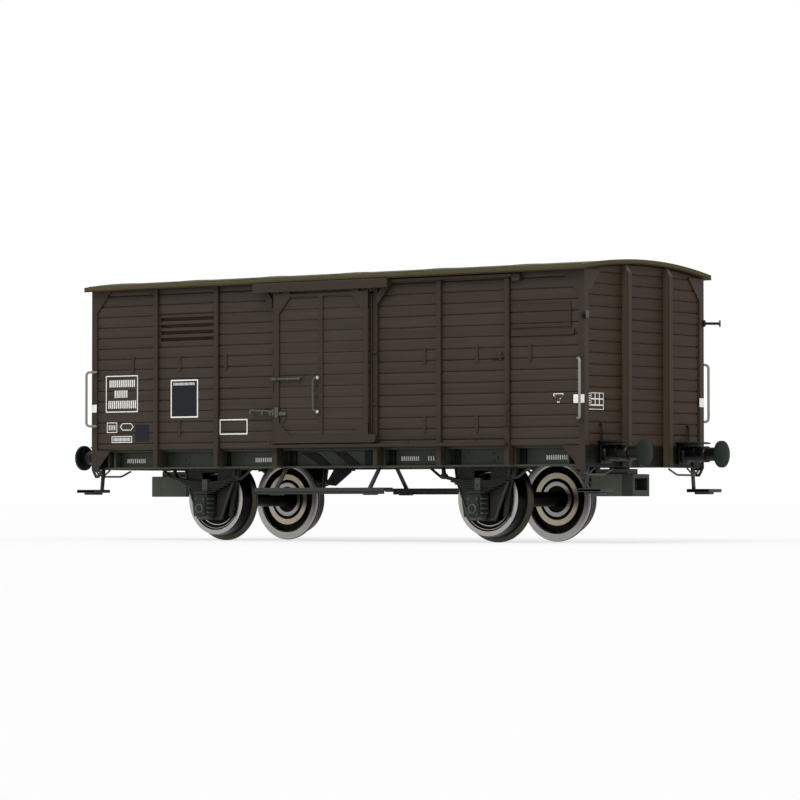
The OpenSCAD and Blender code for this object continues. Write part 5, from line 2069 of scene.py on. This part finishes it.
@dataclass
class BrakeCrank(Assembly):
    """The crank of the brake under the middle of the wagon.

    Attributes:
        low: Nearer face from the middle.
        high: Farther face from the middle.
    """

    low: float = 7.8
    high: float = 8.2

    def build(self) -> None:
        """Make the crank."""
        outline = [(-5.2, 7.6), (-3.9, 7.5), (-1.0, 9.5), (-0.8, 10.0), (-1.8, 12.3), (-4.0, 12.3),
                   (-4.2, 9.9), (-5.3, 8.4)]
        arm, solid = [(x, self.wagon.level(z)) for x, z in outline], Solid()
        solid.prism(arm, Axis.Y, -self.high, -self.low, 0.08, 3)
        for x, z, r in ((-4.55, 8.05, 0.36), (-1.7, 9.85, 0.3), (-3.2, 11.3, 0.34)):
            solid.disc((x, -self.high, self.wagon.level(z)), Axis.Y, r, -0.14, 0.05, 20)
        solid.piece("crank_plate", self.palette.frame, Slot.FRAME, ["brake_crank"])


@dataclass
class Wheelset(Assembly):
    """One turned wheelset: two wheels with their steps and rings, and the axle between them.

    Attributes:
        end: Which axle.
        back: Distance of a wheel's back from the middle.
        sides: Sides around each wheel.
    """

    end: End
    back: float = 7.2
    sides: int = 112

    @property
    def body(self) -> Body:
        """The body that the wheelset is."""
        return Body.FRONT_WHEELSET if self.end is End.FRONT else Body.REAR_WHEELSET

    def _profile(self) -> list[tuple[float, float, int]]:
        """Outline of a wheel from its back to its face.

        Returns:
            Place from the flange's back, radius, and which metal the stretch after it shows:
            0 dark metal in the recesses and on the tread, 1 steel, 2 warm steel, 3 steel of the flange tip,
            lighter as metal rubbed bright and as a painted highlight.
        """
        return [
            (0.35, 0.0, 0), (0.35, 1.9, 0), (0.12, 2.0, 1), (0.08, 2.6, 1), (0.5, 2.7, 0), (0.52, 3.0, 0),
            (0.16, 3.1, 2), (0.13, 3.92, 2), (0.74, 4.02, 0), (0.78, 4.9, 0), (0.12, 5.0, 2),
            (0.08, 5.12, 2),
            (0.0, 5.18, 1), (0.0, 6.02, 1), (0.1, 6.22, 0), (0.24, 6.3, 3), (0.42, 6.27, 3), (0.62, 6.02, 3),
            (0.78, 5.68, 0), (1.0, 5.52, 0), (2.62, 5.42, 0), (2.78, 5.36, 1), (2.8, 5.3, 1), (2.8, 4.7, 1),
            (2.5, 4.64, 0), (2.5, 4.5, 2), (2.66, 4.46, 2), (2.66, 4.38, 0), (2.35, 4.3, 0), (2.33, 3.98, 1),
            (2.42, 3.94, 1), (2.42, 3.8, 0), (2.2, 3.7, 0), (2.1, 1.9, 0), (2.35, 1.65, 0), (2.4, 0.9, 0),
            (2.4, 0.0, 0),
        ]

    def build(self) -> None:
        """Make the wheelset, turning about its own origin."""
        turn = 1 if self.end is End.FRONT else -1
        centre = (turn * self.wagon.axle_x, 0.0, self.wagon.axle_z)
        wheels, axle = Solid(), Solid()
        metals = [step[2] for step in self._profile()]
        for side in (-1, 1):
            outline = [(side * (self.back + along), radius) for along, radius, _ in self._profile()]
            wheels.lathe(outline, centre, Axis.Y, self.sides, metals)
        name = self.end.value
        finishes = [self.palette.wheel_dark, self.palette.wheel, self.palette.wheel_warm,
                    self.palette.wheel_worn_highlight]
        wheels.piece(f"{name}_wheel_discs", finishes, Slot.WHEEL, [f"{name}_wheels"], self.body, centre)
        tip = near(f"{name}_axle")[1].y
        face = self.back + 2.5
        shaft = [(-tip, 0), (-tip, 0.08), (-tip + 0.5, 0.5), (-face, 0.5), (-face, 0.94),
                 (-face + 0.06, 1.0),
                 (-self.back - 0.1, 1.0), (-self.back - 0.1, 1.15), (-self.back + 0.5, 1.15),
                 (-self.back + 0.6, 1.1)]
        mirrored = [(-along, radius) for along, radius in reversed(shaft)]
        axle.lathe(shaft + mirrored, centre, Axis.Y, 40)
        axle.piece(f"{name}_axle_shaft", self.palette.axle, Slot.AXLE, [f"{name}_axle"], self.body, centre)


# ---------------------------------------------------------------- buffers and couplers


@dataclass
class Buffers(Assembly):
    """Four stepped buffers with domed heads, and the shunter's steps over them.

    Attributes:
        offset: Distance of a buffer from the middle.
        height: Height above the rail head.
        head_x: Where the crown of a head lies.
        head_r: Radius of a head.
        dome: Radius of the dome.
    """

    offset: float = 10.05
    height: float = 12.0
    head_x: float = 53.45
    head_r: float = 1.95
    dome: float = 9.0

    def build(self) -> None:
        """Make the buffers."""
        wagon, face = self.wagon, self.wagon.half_l
        z, y = wagon.level(self.height), -self.offset
        barrel, heads, steps = Solid(), Solid(), Solid()
        barrel.box((face - 0.02, y - 1.45, z - 1.45), (face + 0.35, y + 1.45, z + 1.45), 0.1, 3)
        for along in (-1.1, 1.1):
            for up in (-1.1, 1.1):
                barrel.bolt((face + 0.35, y + along, z + up), Axis.X, 0.17, 0.12)
        turned = [(0.3, 0), (0.3, 1.3), (0.8, 1.3), (0.9, 1.2), (0.95, 1.13), (2.15, 1.11), (2.2, 1.2),
                  (2.5, 1.2),
                  (2.55, 1.1), (3.85, 1.08), (3.9, 1.18), (4.35, 1.18), (4.42, 1.1), (4.42, 1.02),
                  (4.3, 1.0), (4.3, 0)]
        barrel.lathe(turned, (face, y, z), Axis.X, 48)
        barrel.spread(FOUR_CORNERS).piece("buffer_sleeves", self.palette.gloss, Slot.FRAME,
                                          ["buffer_barrels"])
        rim = math.sqrt(self.dome**2 - self.head_r**2) - self.dome
        steps_out = [self.head_r * k / 7 for k in range(7, -1, -1)]
        crown = [(math.sqrt(self.dome**2 - r**2) - self.dome, r) for r in steps_out]
        head = [(face - self.head_x + 4.2, 0), (face - self.head_x + 4.2, 1.0), (-1.1, 0.98), (-1.05, 1.2),
                (-0.62, 1.2),
                (-0.6, 1.28), (rim - 0.42, self.head_r - 0.1), (rim - 0.36, self.head_r),
                (rim - 0.05, self.head_r), *crown]
        heads.lathe(head, (self.head_x, y, z), Axis.X, 64, [1] * 5 + [0] * (len(head) - 5))
        heads.spread(FOUR_CORNERS).piece(
            "buffer_plates", [self.palette.buffer, self.palette.gloss], Slot.FRAME, ["buffer_heads"],
        )
        plate_z = wagon.level(13.5)
        steps.box((face - 0.02, -12.0, plate_z), (face + 3.6, -8.1, plate_z + 0.22), 0.06)
        for index in range(7):
            x = face + 0.35 + index * 0.46
            steps.box((x, -11.9, plate_z + 0.2), (x + 0.18, -8.2, plate_z + 0.3), 0.04)
        steps.box((face - 0.02, -11.7, plate_z - 0.42), (face + 1.65, -8.4, plate_z + 0.02), 0.08)
        steps.spread(FOUR_CORNERS).piece("buffer_treads", self.palette.frame, Slot.FRAME, ["buffer_steps"])


@dataclass
class CouplerPocket(Assembly):
    """One swinging coupler pocket with its open socket, its arm and its pivot.

    Attributes:
        end: Which end.
        back: Where the pocket's box begins.
        face: Where its open face lies.
        half: Half its width.
        low: Its underside above the rail head.
        high: Its top above the rail head.
        socket: Half the width, the low and the high edge of the socket, above the rail head.
        depth: Depth of the socket.
        lip: Length of the lip around its mouth, which on the front pocket has a darker finish as painted
            shade.
        pivot: Place of the pivot.
    """

    end: End
    back: float = 38.6
    face: float = 45.8
    half: float = 2.15
    low: float = 5.9
    high: float = 9.1
    socket: tuple[float, float, float] = (1.6, 6.8, 8.5)
    depth: float = 6.0
    lip: float = 1.9
    pivot: float = 36.8

    def build(self) -> None:
        """Make the pocket on its own body."""
        level, solid = self.wagon.level, Solid()
        width, low, high = self.socket
        outer = rect(-self.half, level(self.low), self.half, level(self.high))
        inner = rect(-width, level(low), width, level(high))
        bottom = self.face - self.depth
        lip = Solid()
        lip.ring(outer, inner, Axis.X, self.face - self.lip, self.face, 0.06)
        lip.prism(inner, Axis.X, bottom - 0.02, bottom + 0.1, 0.02)
        solid.ring(outer, inner, Axis.X, bottom - 0.02, self.face - self.lip, 0.06)
        solid.prism(outer, Axis.X, self.back, bottom, 0.06)
        under, arm_low, arm_high = level(8.5), level(9.08), level(9.85)
        solid.box((self.pivot + 0.9, -1.38, arm_low), (self.face - 1.5, 1.38, arm_high), 0.06)
        solid.box((self.pivot + 0.9, -1.38, under), (self.back + 0.3, 1.38, arm_high), 0.06)
        turns = [2 * math.pi * k / 40 for k in range(40)]
        disc, bore = ([(self.pivot + r * math.cos(a), r * math.sin(a)) for a in turns] for r in (1.4, 0.68))
        solid.ring(disc, bore, Axis.Z, under, arm_high, 0.05)
        node = f"{self.end.value}_coupler_pocket"
        body = Body.FRONT_POCKET if self.end is End.FRONT else Body.REAR_POCKET
        solid.spread([self.end.turn]).piece(f"{node}_box", self.palette.pocket, Slot.POCKET, [node], body)
        # The front pocket's mouth takes the darker copy of the grey as painted shade; the rear one keeps the
        # plain grey.
        finish = self.palette.pocket_lip if self.end is End.FRONT else self.palette.pocket
        lip.spread([self.end.turn]).piece(f"{node}_lip", finish, Slot.POCKET, body=body)


# ---------------------------------------------------------------- steps, rails and lamp irons


@dataclass
class SmallGear(Assembly):
    """Corner steps, footboards, handrails, lamp irons, towing rings and the chains over the buffers.

    Attributes:
        step_x: Inner edge of a corner step.
        step_z: Its plate's underside above the rail head.
        board: Half the length of a footboard.
        board_z: Its underside above the rail head.
        board_h: Its thickness.
        wire: Radius of a handrail.
        reach: How far a handrail stands off the corner.
        lamp_z: Height of the lamp irons above the rail head.
    """

    step_x: float = 45.6
    step_z: float = 6.5
    board: float = 12.2
    board_z: float = 6.65
    board_h: float = 0.55
    wire: float = 0.19
    reach: float = 1.75
    lamp_z: float = 31.3

    def _corner_steps(self) -> None:
        """Make the steps at the corners, on their hangers and wires."""
        level, x, plate, wires = self.wagon.level, self.step_x, Solid(), Solid()
        z = level(self.step_z)
        plate.box((x, -15.6, z + 0.02), (x + 3.9, -12.2, z + 0.45), 0.08)
        for y in (-15.6, -12.35):
            plate.box((x, y, z), (x + 3.9, y + 0.15, z + 0.5), 0.04)
        for along in spaced(0.5, 3.4, 7):
            plate.box((x + along - 0.1, -15.4, z + 0.43), (x + along + 0.1, -12.4, z + 0.49), 0.02)
        plate.box((x + 0.9, -14.9, z - 0.3), (x + 3.0, -12.9, z + 0.07), 0.06)
        hanger = [(-14.2, z + 0.4), (-13.55, z + 0.4), (-13.2, level(10.05)), (-13.85, level(10.05))]
        plate.prism(hanger, Axis.X, x + 0.02, x + 0.33, 0.06)
        for y, up in ((-13.55, 9.75), (-13.85, 7.2)):
            plate.bolt((x + 0.33, y, level(up)), Axis.X, 0.15, 0.1)
        wire_x = x + 0.2
        wires.rod([(wire_x, -7.2, level(9.85)), (wire_x, -9.4, level(9.02)), (wire_x, -13.7, level(9.0)),
                   (wire_x, -14.95, level(9.55)), (wire_x, -15.15, level(10.15))], 0.15, 0.5)
        wires.rod([(wire_x + 0.12, -11.9, level(9.98)), (wire_x + 0.12, -13.3, level(9.12))], 0.13)
        plate.spread(FOUR_CORNERS).piece("corner_step_plates", self.palette.step, Slot.FRAME,
                                         ["corner_steps"])
        wires.spread(FOUR_CORNERS).piece("corner_step_wires", self.palette.iron, Slot.FRAME)

    def _footboard(self, side: Side) -> None:
        """Make one footboard under a door.

        Args:
            side: Which side.
        """
        low, solid = self.wagon.level(self.board_z), Solid()
        top = low + self.board_h
        solid.box((-self.board, -16.95, low + 0.1), (self.board, -14.85, top - 0.06), 0.06)
        solid.box((-self.board, -17.1, low), (self.board, -16.9, top), 0.05)
        solid.box((-self.board, -15.0, low), (self.board, -14.8, top), 0.05)
        solid.box((-self.board + 0.2, -16.85, low - 0.4), (self.board - 0.2, -16.55, low + 0.12), 0.06)
        for y in spaced(-16.65, -15.2, 6):
            solid.box((-self.board + 0.1, y - 0.08, top - 0.1), (self.board - 0.1, y + 0.08, top), 0.03)
        for x in (-8.85, 8.85):
            arm = [(-16.4, low + 0.3), (-15.8, low + 0.3), (-13.35, self.wagon.sole + 0.02),
                   (-13.85, self.wagon.sole + 0.02)]
            solid.prism(arm, Axis.X, x - 0.28, x + 0.28, 0.08)
            solid.box((x - 1.0, -16.45, low - 0.55), (x + 1.0, -15.2, low + 0.12), 0.1)
            for along in (-0.65, 0.65):
                solid.bolt((x + along, -16.45, low - 0.2), Axis.Y, 0.14, -0.1)
        node = f"{side.value}_footboard"
        solid.spread([side.turn]).piece(f"{node}_tread", self.palette.step, Slot.FRAME, [node])

    def _handrails(self) -> None:
        """Make the upright handrails at the corners."""
        level, solid, feet = self.wagon.level, Solid(), Solid()
        slant = math.sqrt(0.5)

        def out(reach: float, z: float) -> Point:
            """A point that stands off the corner at 45 degrees."""
            return (45.35 + reach * slant, -15.4 - reach * slant, z)

        low, high = level(16.85), level(25.25)
        solid.rod([out(0.0, low), out(self.reach, low), out(self.reach, high), out(0.0, high)], self.wire,
                  0.6, 16)
        for z in (low, high):
            feet.rod([out(0.02, z), out(0.2, z)], self.wire * 1.5, 0, 16)
        solid.spread(FOUR_CORNERS).piece("handrail_wires", self.palette.wire, Slot.WIRE, ["handrails"])
        feet.spread(FOUR_CORNERS).piece("handrail_feet", self.palette.body, Slot.WIRE)

    def _lamp_irons(self) -> None:
        """Make the lamp irons of the front end."""
        rod, plate, z = Solid(), Solid(), self.wagon.level(self.lamp_z)
        out = [(-0.1, 0), (-0.1, 0.5), (0.12, 0.52), (0.2, 0.45), (0.22, 0.28), (0.4, 0.2), (2.3, 0.2),
               (2.34, 0)]
        rod.lathe(out, (0, 0, 0), Axis.X, 28)
        plate.box((2.3, -0.24, -0.5), (2.5, 0.24, 0.5), 0.06)
        corner = (self.wagon.half_l + 0.25, -self.wagon.half_w - 0.25, z)
        slant = Matrix.Translation(corner) @ Matrix.Rotation(-math.pi / 4, 4, "Z")
        for name, solid, finish in (("rods", rod, self.palette.frame), ("plates", plate, self.palette.iron)):
            solid.spread([slant, MIRROR_Y @ slant])
            solid.piece(f"lamp_iron_{name}", finish, Slot.FRAME, ["lamp_irons"] if solid is rod else [])

    def _towing_rings(self) -> None:
        """Make the towing rings under the corner angles."""
        level, solid = self.wagon.level, Solid()
        outer = [(46.6, level(10.0)), (44.5, level(10.0)), (45.3, level(8.8)), (45.9, level(8.8))]
        inner = [(46.1, level(9.7)), (45.0, level(9.7)), (45.5, level(9.2)), (45.75, level(9.2))]
        solid.ring(outer, inner, Axis.Y, -15.4, -15.0, 0.06)
        solid.spread(FOUR_CORNERS).piece("towing_rings", self.palette.body, Slot.BODY, ["towing_eyes"])

    def _chains(self) -> None:
        """Make the short chains that hang over the buffer treads."""
        solid = Solid()
        x, y, start = self.wagon.half_l + 0.25, -11.2, self.wagon.level(13.98)
        for index in range(6):
            middle = start + index * 0.36
            turns = spaced(0, 2 * math.pi, 9)
            wide = [(0.15 * math.cos(a), middle + 0.24 * math.sin(a)) for a in turns]
            loop = [(x + s, y, z) if index % 2 else (x, y + s, z) for s, z in wide]
            solid.rod(loop, 0.06, 0, 8)
        solid.disc((self.wagon.half_l, y, start + 2.1), Axis.X, 0.2, 0.3, 0.05, 16)
        solid.spread(FOUR_CORNERS).piece("buffer_chains", self.palette.frame, Slot.FRAME)

    def build(self) -> None:
        """Make all small gear."""
        self._corner_steps()
        for side in Side:
            self._footboard(side)
        self._handrails()
        self._lamp_irons()
        self._towing_rings()
        self._chains()


@dataclass
class HiddenParts(Assembly):
    """The ballast sheet in the floor and the pins of the coupler pockets.

    Attributes:
        pin_x: Place of the pins.
        pin_r: Radius of the pins.
    """

    pin_x: float = 36.8
    pin_r: float = 0.6

    def build(self) -> None:
        """Make the ballast and the pins."""
        low, high = near("ballast_weight")
        weight, pins = Solid(), Solid()
        corners = rect(low.x, low.y, high.x, high.y)
        weight.prism(fillet(corners, 1.2), Axis.Z, low.z, high.z, 0.12)
        weight.piece("ballast_sheet", self.palette.ballast, Slot.BALLAST, ["ballast_weight"])
        level = self.wagon.level
        head = level(8.4)
        outline = [(head - 0.4, 0), (head - 0.4, 0.86), (head - 0.26, 1.0), (head, 1.0), (head, self.pin_r),
                   (level(9.95), self.pin_r), (level(9.95), 1.3), (level(12.3), 1.3), (level(12.3), 0)]
        for x in (-self.pin_x, self.pin_x):
            pins.lathe(outline, (x, 0, 0), Axis.Z, 32)
        pins.piece("pocket_pins", self.palette.frame, Slot.FRAME, ["coupler_pivots"])


@dataclass
class Printing(Assembly):
    """Blank printed frames and panels of the sides and the end, without any lettering.

    Attributes:
        web: Face of the solebar.
        paint: Thickness of the print.
        clear: How far the print's outlines stand off a face.
        line: Width of a fine line.
        frames: Left, right, low and high of the outlined frames, and the width of their line.
        panels: Left, right, low and high of the dark panels.
        rows: Left, right, low, high and spacing of the rows of plain upright marks.
        sole_rows: Left and right of such rows on the solebar.
    """

    web: float = 12.7
    paint: float = 0.02
    clear: float = 0.004
    line: float = 0.09
    frames: tuple[tuple[float, float, float, float, float], ...] = (
        (-43.84, -37.22, 18.95, 24.64, 0.15), (-30.49, -25.0, 17.94, 23.76, 0.2),
        (-20.66, -15.17, 15.27, 17.58, 0.17),
        (-43.6, -41.5, 15.8, 17.4, 0.11), (-42.6, -38.4, 14.25, 15.25, 0.11),
    )
    panels: tuple[tuple[float, float, float, float], ...] = ((-30.4, -25.09, 18.03, 23.67),
                                                             (-37.7, -34.9, 14.4, 17.0))
    rows: tuple[tuple[float, float, float, float, float], ...] = (
        (-43.06, -37.85, 22.85, 23.95, 0.38), (-42.0, -39.4, 21.2, 22.35, 0.38),
        (-43.3, -37.6, 19.55, 20.75, 0.38),
        (-29.9, -25.7, 22.9, 23.3, 0.24), (-43.2, -41.9, 16.2, 17.0, 0.3), (-42.2, -38.8, 14.5, 15.0, 0.26),
    )
    sole_rows: tuple[tuple[float, float], ...] = (
        (-41.5, -37.8), (-15.6, -12.5), (-11.0, -9.95), (12.2, 15.4), (17.1, 18.2), (38.2, 42.2),
    )

    def _marks(self, solid: Solid, row: tuple[float, float, float, float, float], face: float) -> None:
        """Add a row of plain upright marks.

        Args:
            solid: The solid that takes them.
            row: Left, right, low, high and spacing.
            face: Where the printed face lies.
        """
        left, right, low, high, pitch = row
        for start in spaced(left, right - pitch / 2, round((right - left) / pitch)):
            solid.box((start, face - self.paint * 1.5, self.wagon.level(low)),
                      (start + pitch * 0.5, face + 0.02, self.wagon.level(high)), 0)

    def build(self) -> None:
        """Make the print of both sides and of the front end."""
        level, face, white, dark = self.wagon.level, -self.wagon.half_w - self.clear, Solid(), Solid()
        for left, right, low, high, line in self.frames:
            loop = rect(left, level(low), right, level(high))
            white.stroke(loop, line, face, Axis.Y, -self.paint)
        middle, half, low, high = -39.5, 1.4, level(16.15), level(17.25)
        rise = (high - low) / 2
        hexagon = [(middle - half, low + rise), (middle - half + 0.5, low), (middle + half - 0.5, low),
                   (middle + half, low + rise), (middle + half - 0.5, high), (middle - half + 0.5, high)]
        white.stroke(hexagon, 0.11, face, Axis.Y, -self.paint)
        for row in self.rows:
            self._marks(white, row, face)
        funnel = [(41.1, 20.4), (42.8, 20.4), (42.8, 20.1), (42.15, 19.6), (42.15, 19.1), (41.75, 19.1),
                  (41.75, 19.6),
                  (41.1, 20.1)]
        white.stroke([(x, level(z)) for x, z in funnel], 0.11, face, Axis.Y, -self.paint)
        for left, right in self.sole_rows:
            self._marks(white, (left, right, 11.1, 11.75, 0.36), -self.web - self.clear)
        for left, right, low, high in self.panels:
            dark.box((left, face - self.paint * 0.7, level(low)), (right, face + 0.02, level(high)), 0)
        white.spread(BOTH_TURNS).piece("side_print", self.palette.white, Slot.BODY)
        dark.spread(BOTH_TURNS).piece("side_panels", self.palette.panel, Slot.BODY)
        patches, end_face = Solid(), self.wagon.half_l + self.clear
        cells = [(-14.25, -10.35, 18.1, 18.75)]
        cells += [(y, y + 1.05, z, z + 0.87) for y in (-13.5, -12.45, -11.4) for z in (18.75, 19.62)]
        for y0, y1, z0, z1 in cells:
            loop = rect(y0, level(z0), y1, level(z1))
            patches.stroke(loop, self.line, end_face, Axis.X, self.paint)
        for z in spaced(18.95, 20.3, 5):
            patches.box((end_face - 0.02, -14.2, level(z)), (end_face + self.paint, -13.65, level(z + 0.14)),
                        0)
        patches.piece("end_print", self.palette.white, Slot.BODY)
        side_face, angle_face = -self.wagon.half_w - 0.25, self.wagon.half_l + 0.25
        for name, turns, width, wraps in (("plain", [IDENTITY, HALF_TURN], 1.87, False),
                                          ("wrapped", [MIRROR_X, MIRROR_Y], 1.05, True)):
            corner = Solid()
            corner.box((angle_face - width, side_face - self.paint, level(19.0)),
                       (angle_face - 0.03, side_face + 0.27, level(20.2)), 0)
            if wraps:
                corner.box((angle_face - 0.04, side_face + 0.02, level(19.0)),
                           (angle_face + self.paint, side_face + 1.2, level(20.3)), 0)
            corner.spread(turns).piece(f"corner_patches_{name}", self.palette.white, Slot.BODY)


# ---------------------------------------------------------------- start of the scene


@dataclass(frozen=True)
class Viewpoint:
    """The camera, as far as the wagon's own frame says where it stands.

    Attributes:
        place: Its place in millimetres.
        yaw: Turn of the view to the left of +Y, in degrees.
        pitch: Rise of the view, in degrees.
        lens: Focal length for the 36 mm sensor.
    """

    place: Point = (338.2, -436.9, 5.87)
    yaw: float = 37.569
    pitch: float = 1.601
    lens: float = 164.4

    def build(self) -> bpy.types.Object:
        """Place the camera.

        Returns:
            The camera object.
        """
        data = bpy.data.cameras.new("camera")
        data.lens = self.lens
        data.sensor_width = 36.0
        data.clip_start = 0.01
        data.clip_end = 20.0
        camera = bpy.data.objects.new("camera", data)
        camera.location = Vector(self.place) * MM
        camera.rotation_euler = (math.radians(90 + self.pitch), 0.0, math.radians(self.yaw))
        bpy.context.scene.collection.objects.link(camera)
        bpy.context.scene.camera = camera
        return camera


@dataclass(frozen=True)
class Studio:
    """Plain pale floor and soft white light.

    Attributes:
        floor_r: Radius of the floor, in metres.
        sky: Strength of the surrounding light.
        key: Strength of the key light.
        fill: Strength of the fill light.
        shadow: How much of the floor's own shading shows, the rest being plain white.
    """

    floor_r: float = 12.0
    sky: float = 0.62
    key: float = 1.5
    fill: float = 0.5
    shadow: float = 0.3

    def _seen_white(self, sheet: Sheet) -> bpy.types.NodeSocket:
        """Mask of the rays that see the background itself.

        Args:
            sheet: The sheet of the material or the world.

        Returns:
            The mask's socket.
        """
        path = sheet.add("LightPath")
        glossy = sheet.maths("MAXIMUM", path.outputs["Is Camera Ray"], path.outputs["Is Glossy Ray"])
        return sheet.maths("MAXIMUM", glossy, path.outputs["Is Transmission Ray"])

    def _sky(self) -> None:
        """Light the world evenly, white where it is seen."""
        world = bpy.data.worlds.new("studio")
        world.use_nodes = True
        sheet = Sheet(world.node_tree)
        background = world.node_tree.nodes["Background"]
        background.inputs["Color"].default_value = (1.0, 1.0, 1.0, 1.0)
        seen = self._seen_white(sheet)
        strength = sheet.maths("ADD", sheet.maths("MULTIPLY", seen, 1.0 - self.sky), self.sky)
        world.node_tree.links.new(strength, background.inputs["Strength"])
        bpy.context.scene.world = world

    def _floor(self) -> None:
        """Make the floor, white where it is seen and keeping a soft shadow."""
        mesh = bpy.data.meshes.new("floor")
        shape = bmesh.new()
        bmesh.ops.create_circle(shape, cap_ends=True, radius=self.floor_r, segments=64)
        shape.to_mesh(mesh)
        shape.free()
        floor = bpy.data.objects.new("floor", mesh)
        bpy.context.scene.collection.objects.link(floor)
        material = bpy.data.materials.new("pale_floor")
        material.use_nodes = True
        sheet = Sheet(material.node_tree)
        sheet.tree.nodes.remove(sheet.tree.nodes["Principled BSDF"])
        matt = sheet.add("BsdfDiffuse", {"Color": (0.9, 0.9, 0.9, 1.0)})
        plain = sheet.add("Emission", {"Color": (1.0, 1.0, 1.0, 1.0), "Strength": 1.0})
        share = sheet.maths("MULTIPLY", self._seen_white(sheet), 1.0 - self.shadow)
        mixed = sheet.add("MixShader", {0: share, 1: matt.outputs[0], 2: plain.outputs[0]})
        output = sheet.tree.nodes["Material Output"]
        sheet.tree.links.new(mixed.outputs[0], output.inputs["Surface"])
        mesh.materials.append(material)

    @staticmethod
    def _sun(name: str, strength: float, azimuth: float, height: float, spread: float) -> None:
        """Add a soft distant light.

        Args:
            name: Name of the light.
            strength: Its strength.
            azimuth: Where it stands, in degrees from -Y towards +X.
            height: Its height in degrees.
            spread: Its apparent size in degrees.
        """
        data = bpy.data.lights.new(name, "SUN")
        data.energy = strength
        data.angle = math.radians(spread)
        lamp = bpy.data.objects.new(name, data)
        lamp.rotation_euler = (math.radians(90 - height), 0.0, math.radians(azimuth))
        bpy.context.scene.collection.objects.link(lamp)

    def build(self) -> None:
        """Make the sky, the floor and the lamps."""
        self._sky()
        self._floor()
        self._sun("key", self.key, 5.0, 48.0, 35.0)
        self._sun("fill", self.fill, 75.0, 30.0, 50.0)


def main() -> None:
    """Build the wagon's looks around the frame."""
    logging.basicConfig(level=logging.INFO, format="%(name)s: %(message)s")
    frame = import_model()
    LOG.info("frame holds %d nodes", len(frame["nodes"]))
    Viewpoint().build()
    Studio().build()
    palette = Palette()
    wagon = Wagon.from_frame()
    Roof(wagon, palette).build()
    PlankedWalls(wagon, palette).build()
    Posts(wagon, palette).build()
    for side in Side:
        SlidingDoor(wagon, palette, side).build()
        DoorGuides(wagon, palette, side).build()
    Vents(wagon, palette).build()
    Floors(wagon, palette).build()
    Underframe(wagon, palette).build()
    for end in End:
        RunningGear(wagon, palette, end).build()
        Wheelset(wagon, palette, end).build()
        CouplerPocket(wagon, palette, end).build()
    BrakeCrank(wagon, palette).build()
    Buffers(wagon, palette).build()
    SmallGear(wagon, palette).build()
    HiddenParts(wagon, palette).build()
    Printing(wagon, palette).build()
    carry_over(frame["nodes"], palette)
    bpy.context.scene.view_settings.view_transform = "Standard"


def carry_over(nodes: Mapping[str, bpy.types.Object], palette: Palette) -> None:
    """Give every frame node that still shows its finish.

    Args:
        nodes: The frame's nodes by name.
        palette: The finishes.
    """
    for name, node in nodes.items():
        if node.hide_render:
            continue
        finish = palette.frame
        if "door" in name or "post" in name or "hatch" in name or "vent" in name:
            finish = palette.body
        if name.endswith("_wheels"):
            finish = palette.wheel
        node.data.materials.clear()
        node.data.materials.append(finish)
        LOG.info("%s keeps its frame mesh", name)


if __name__ == "__main__":
    main()
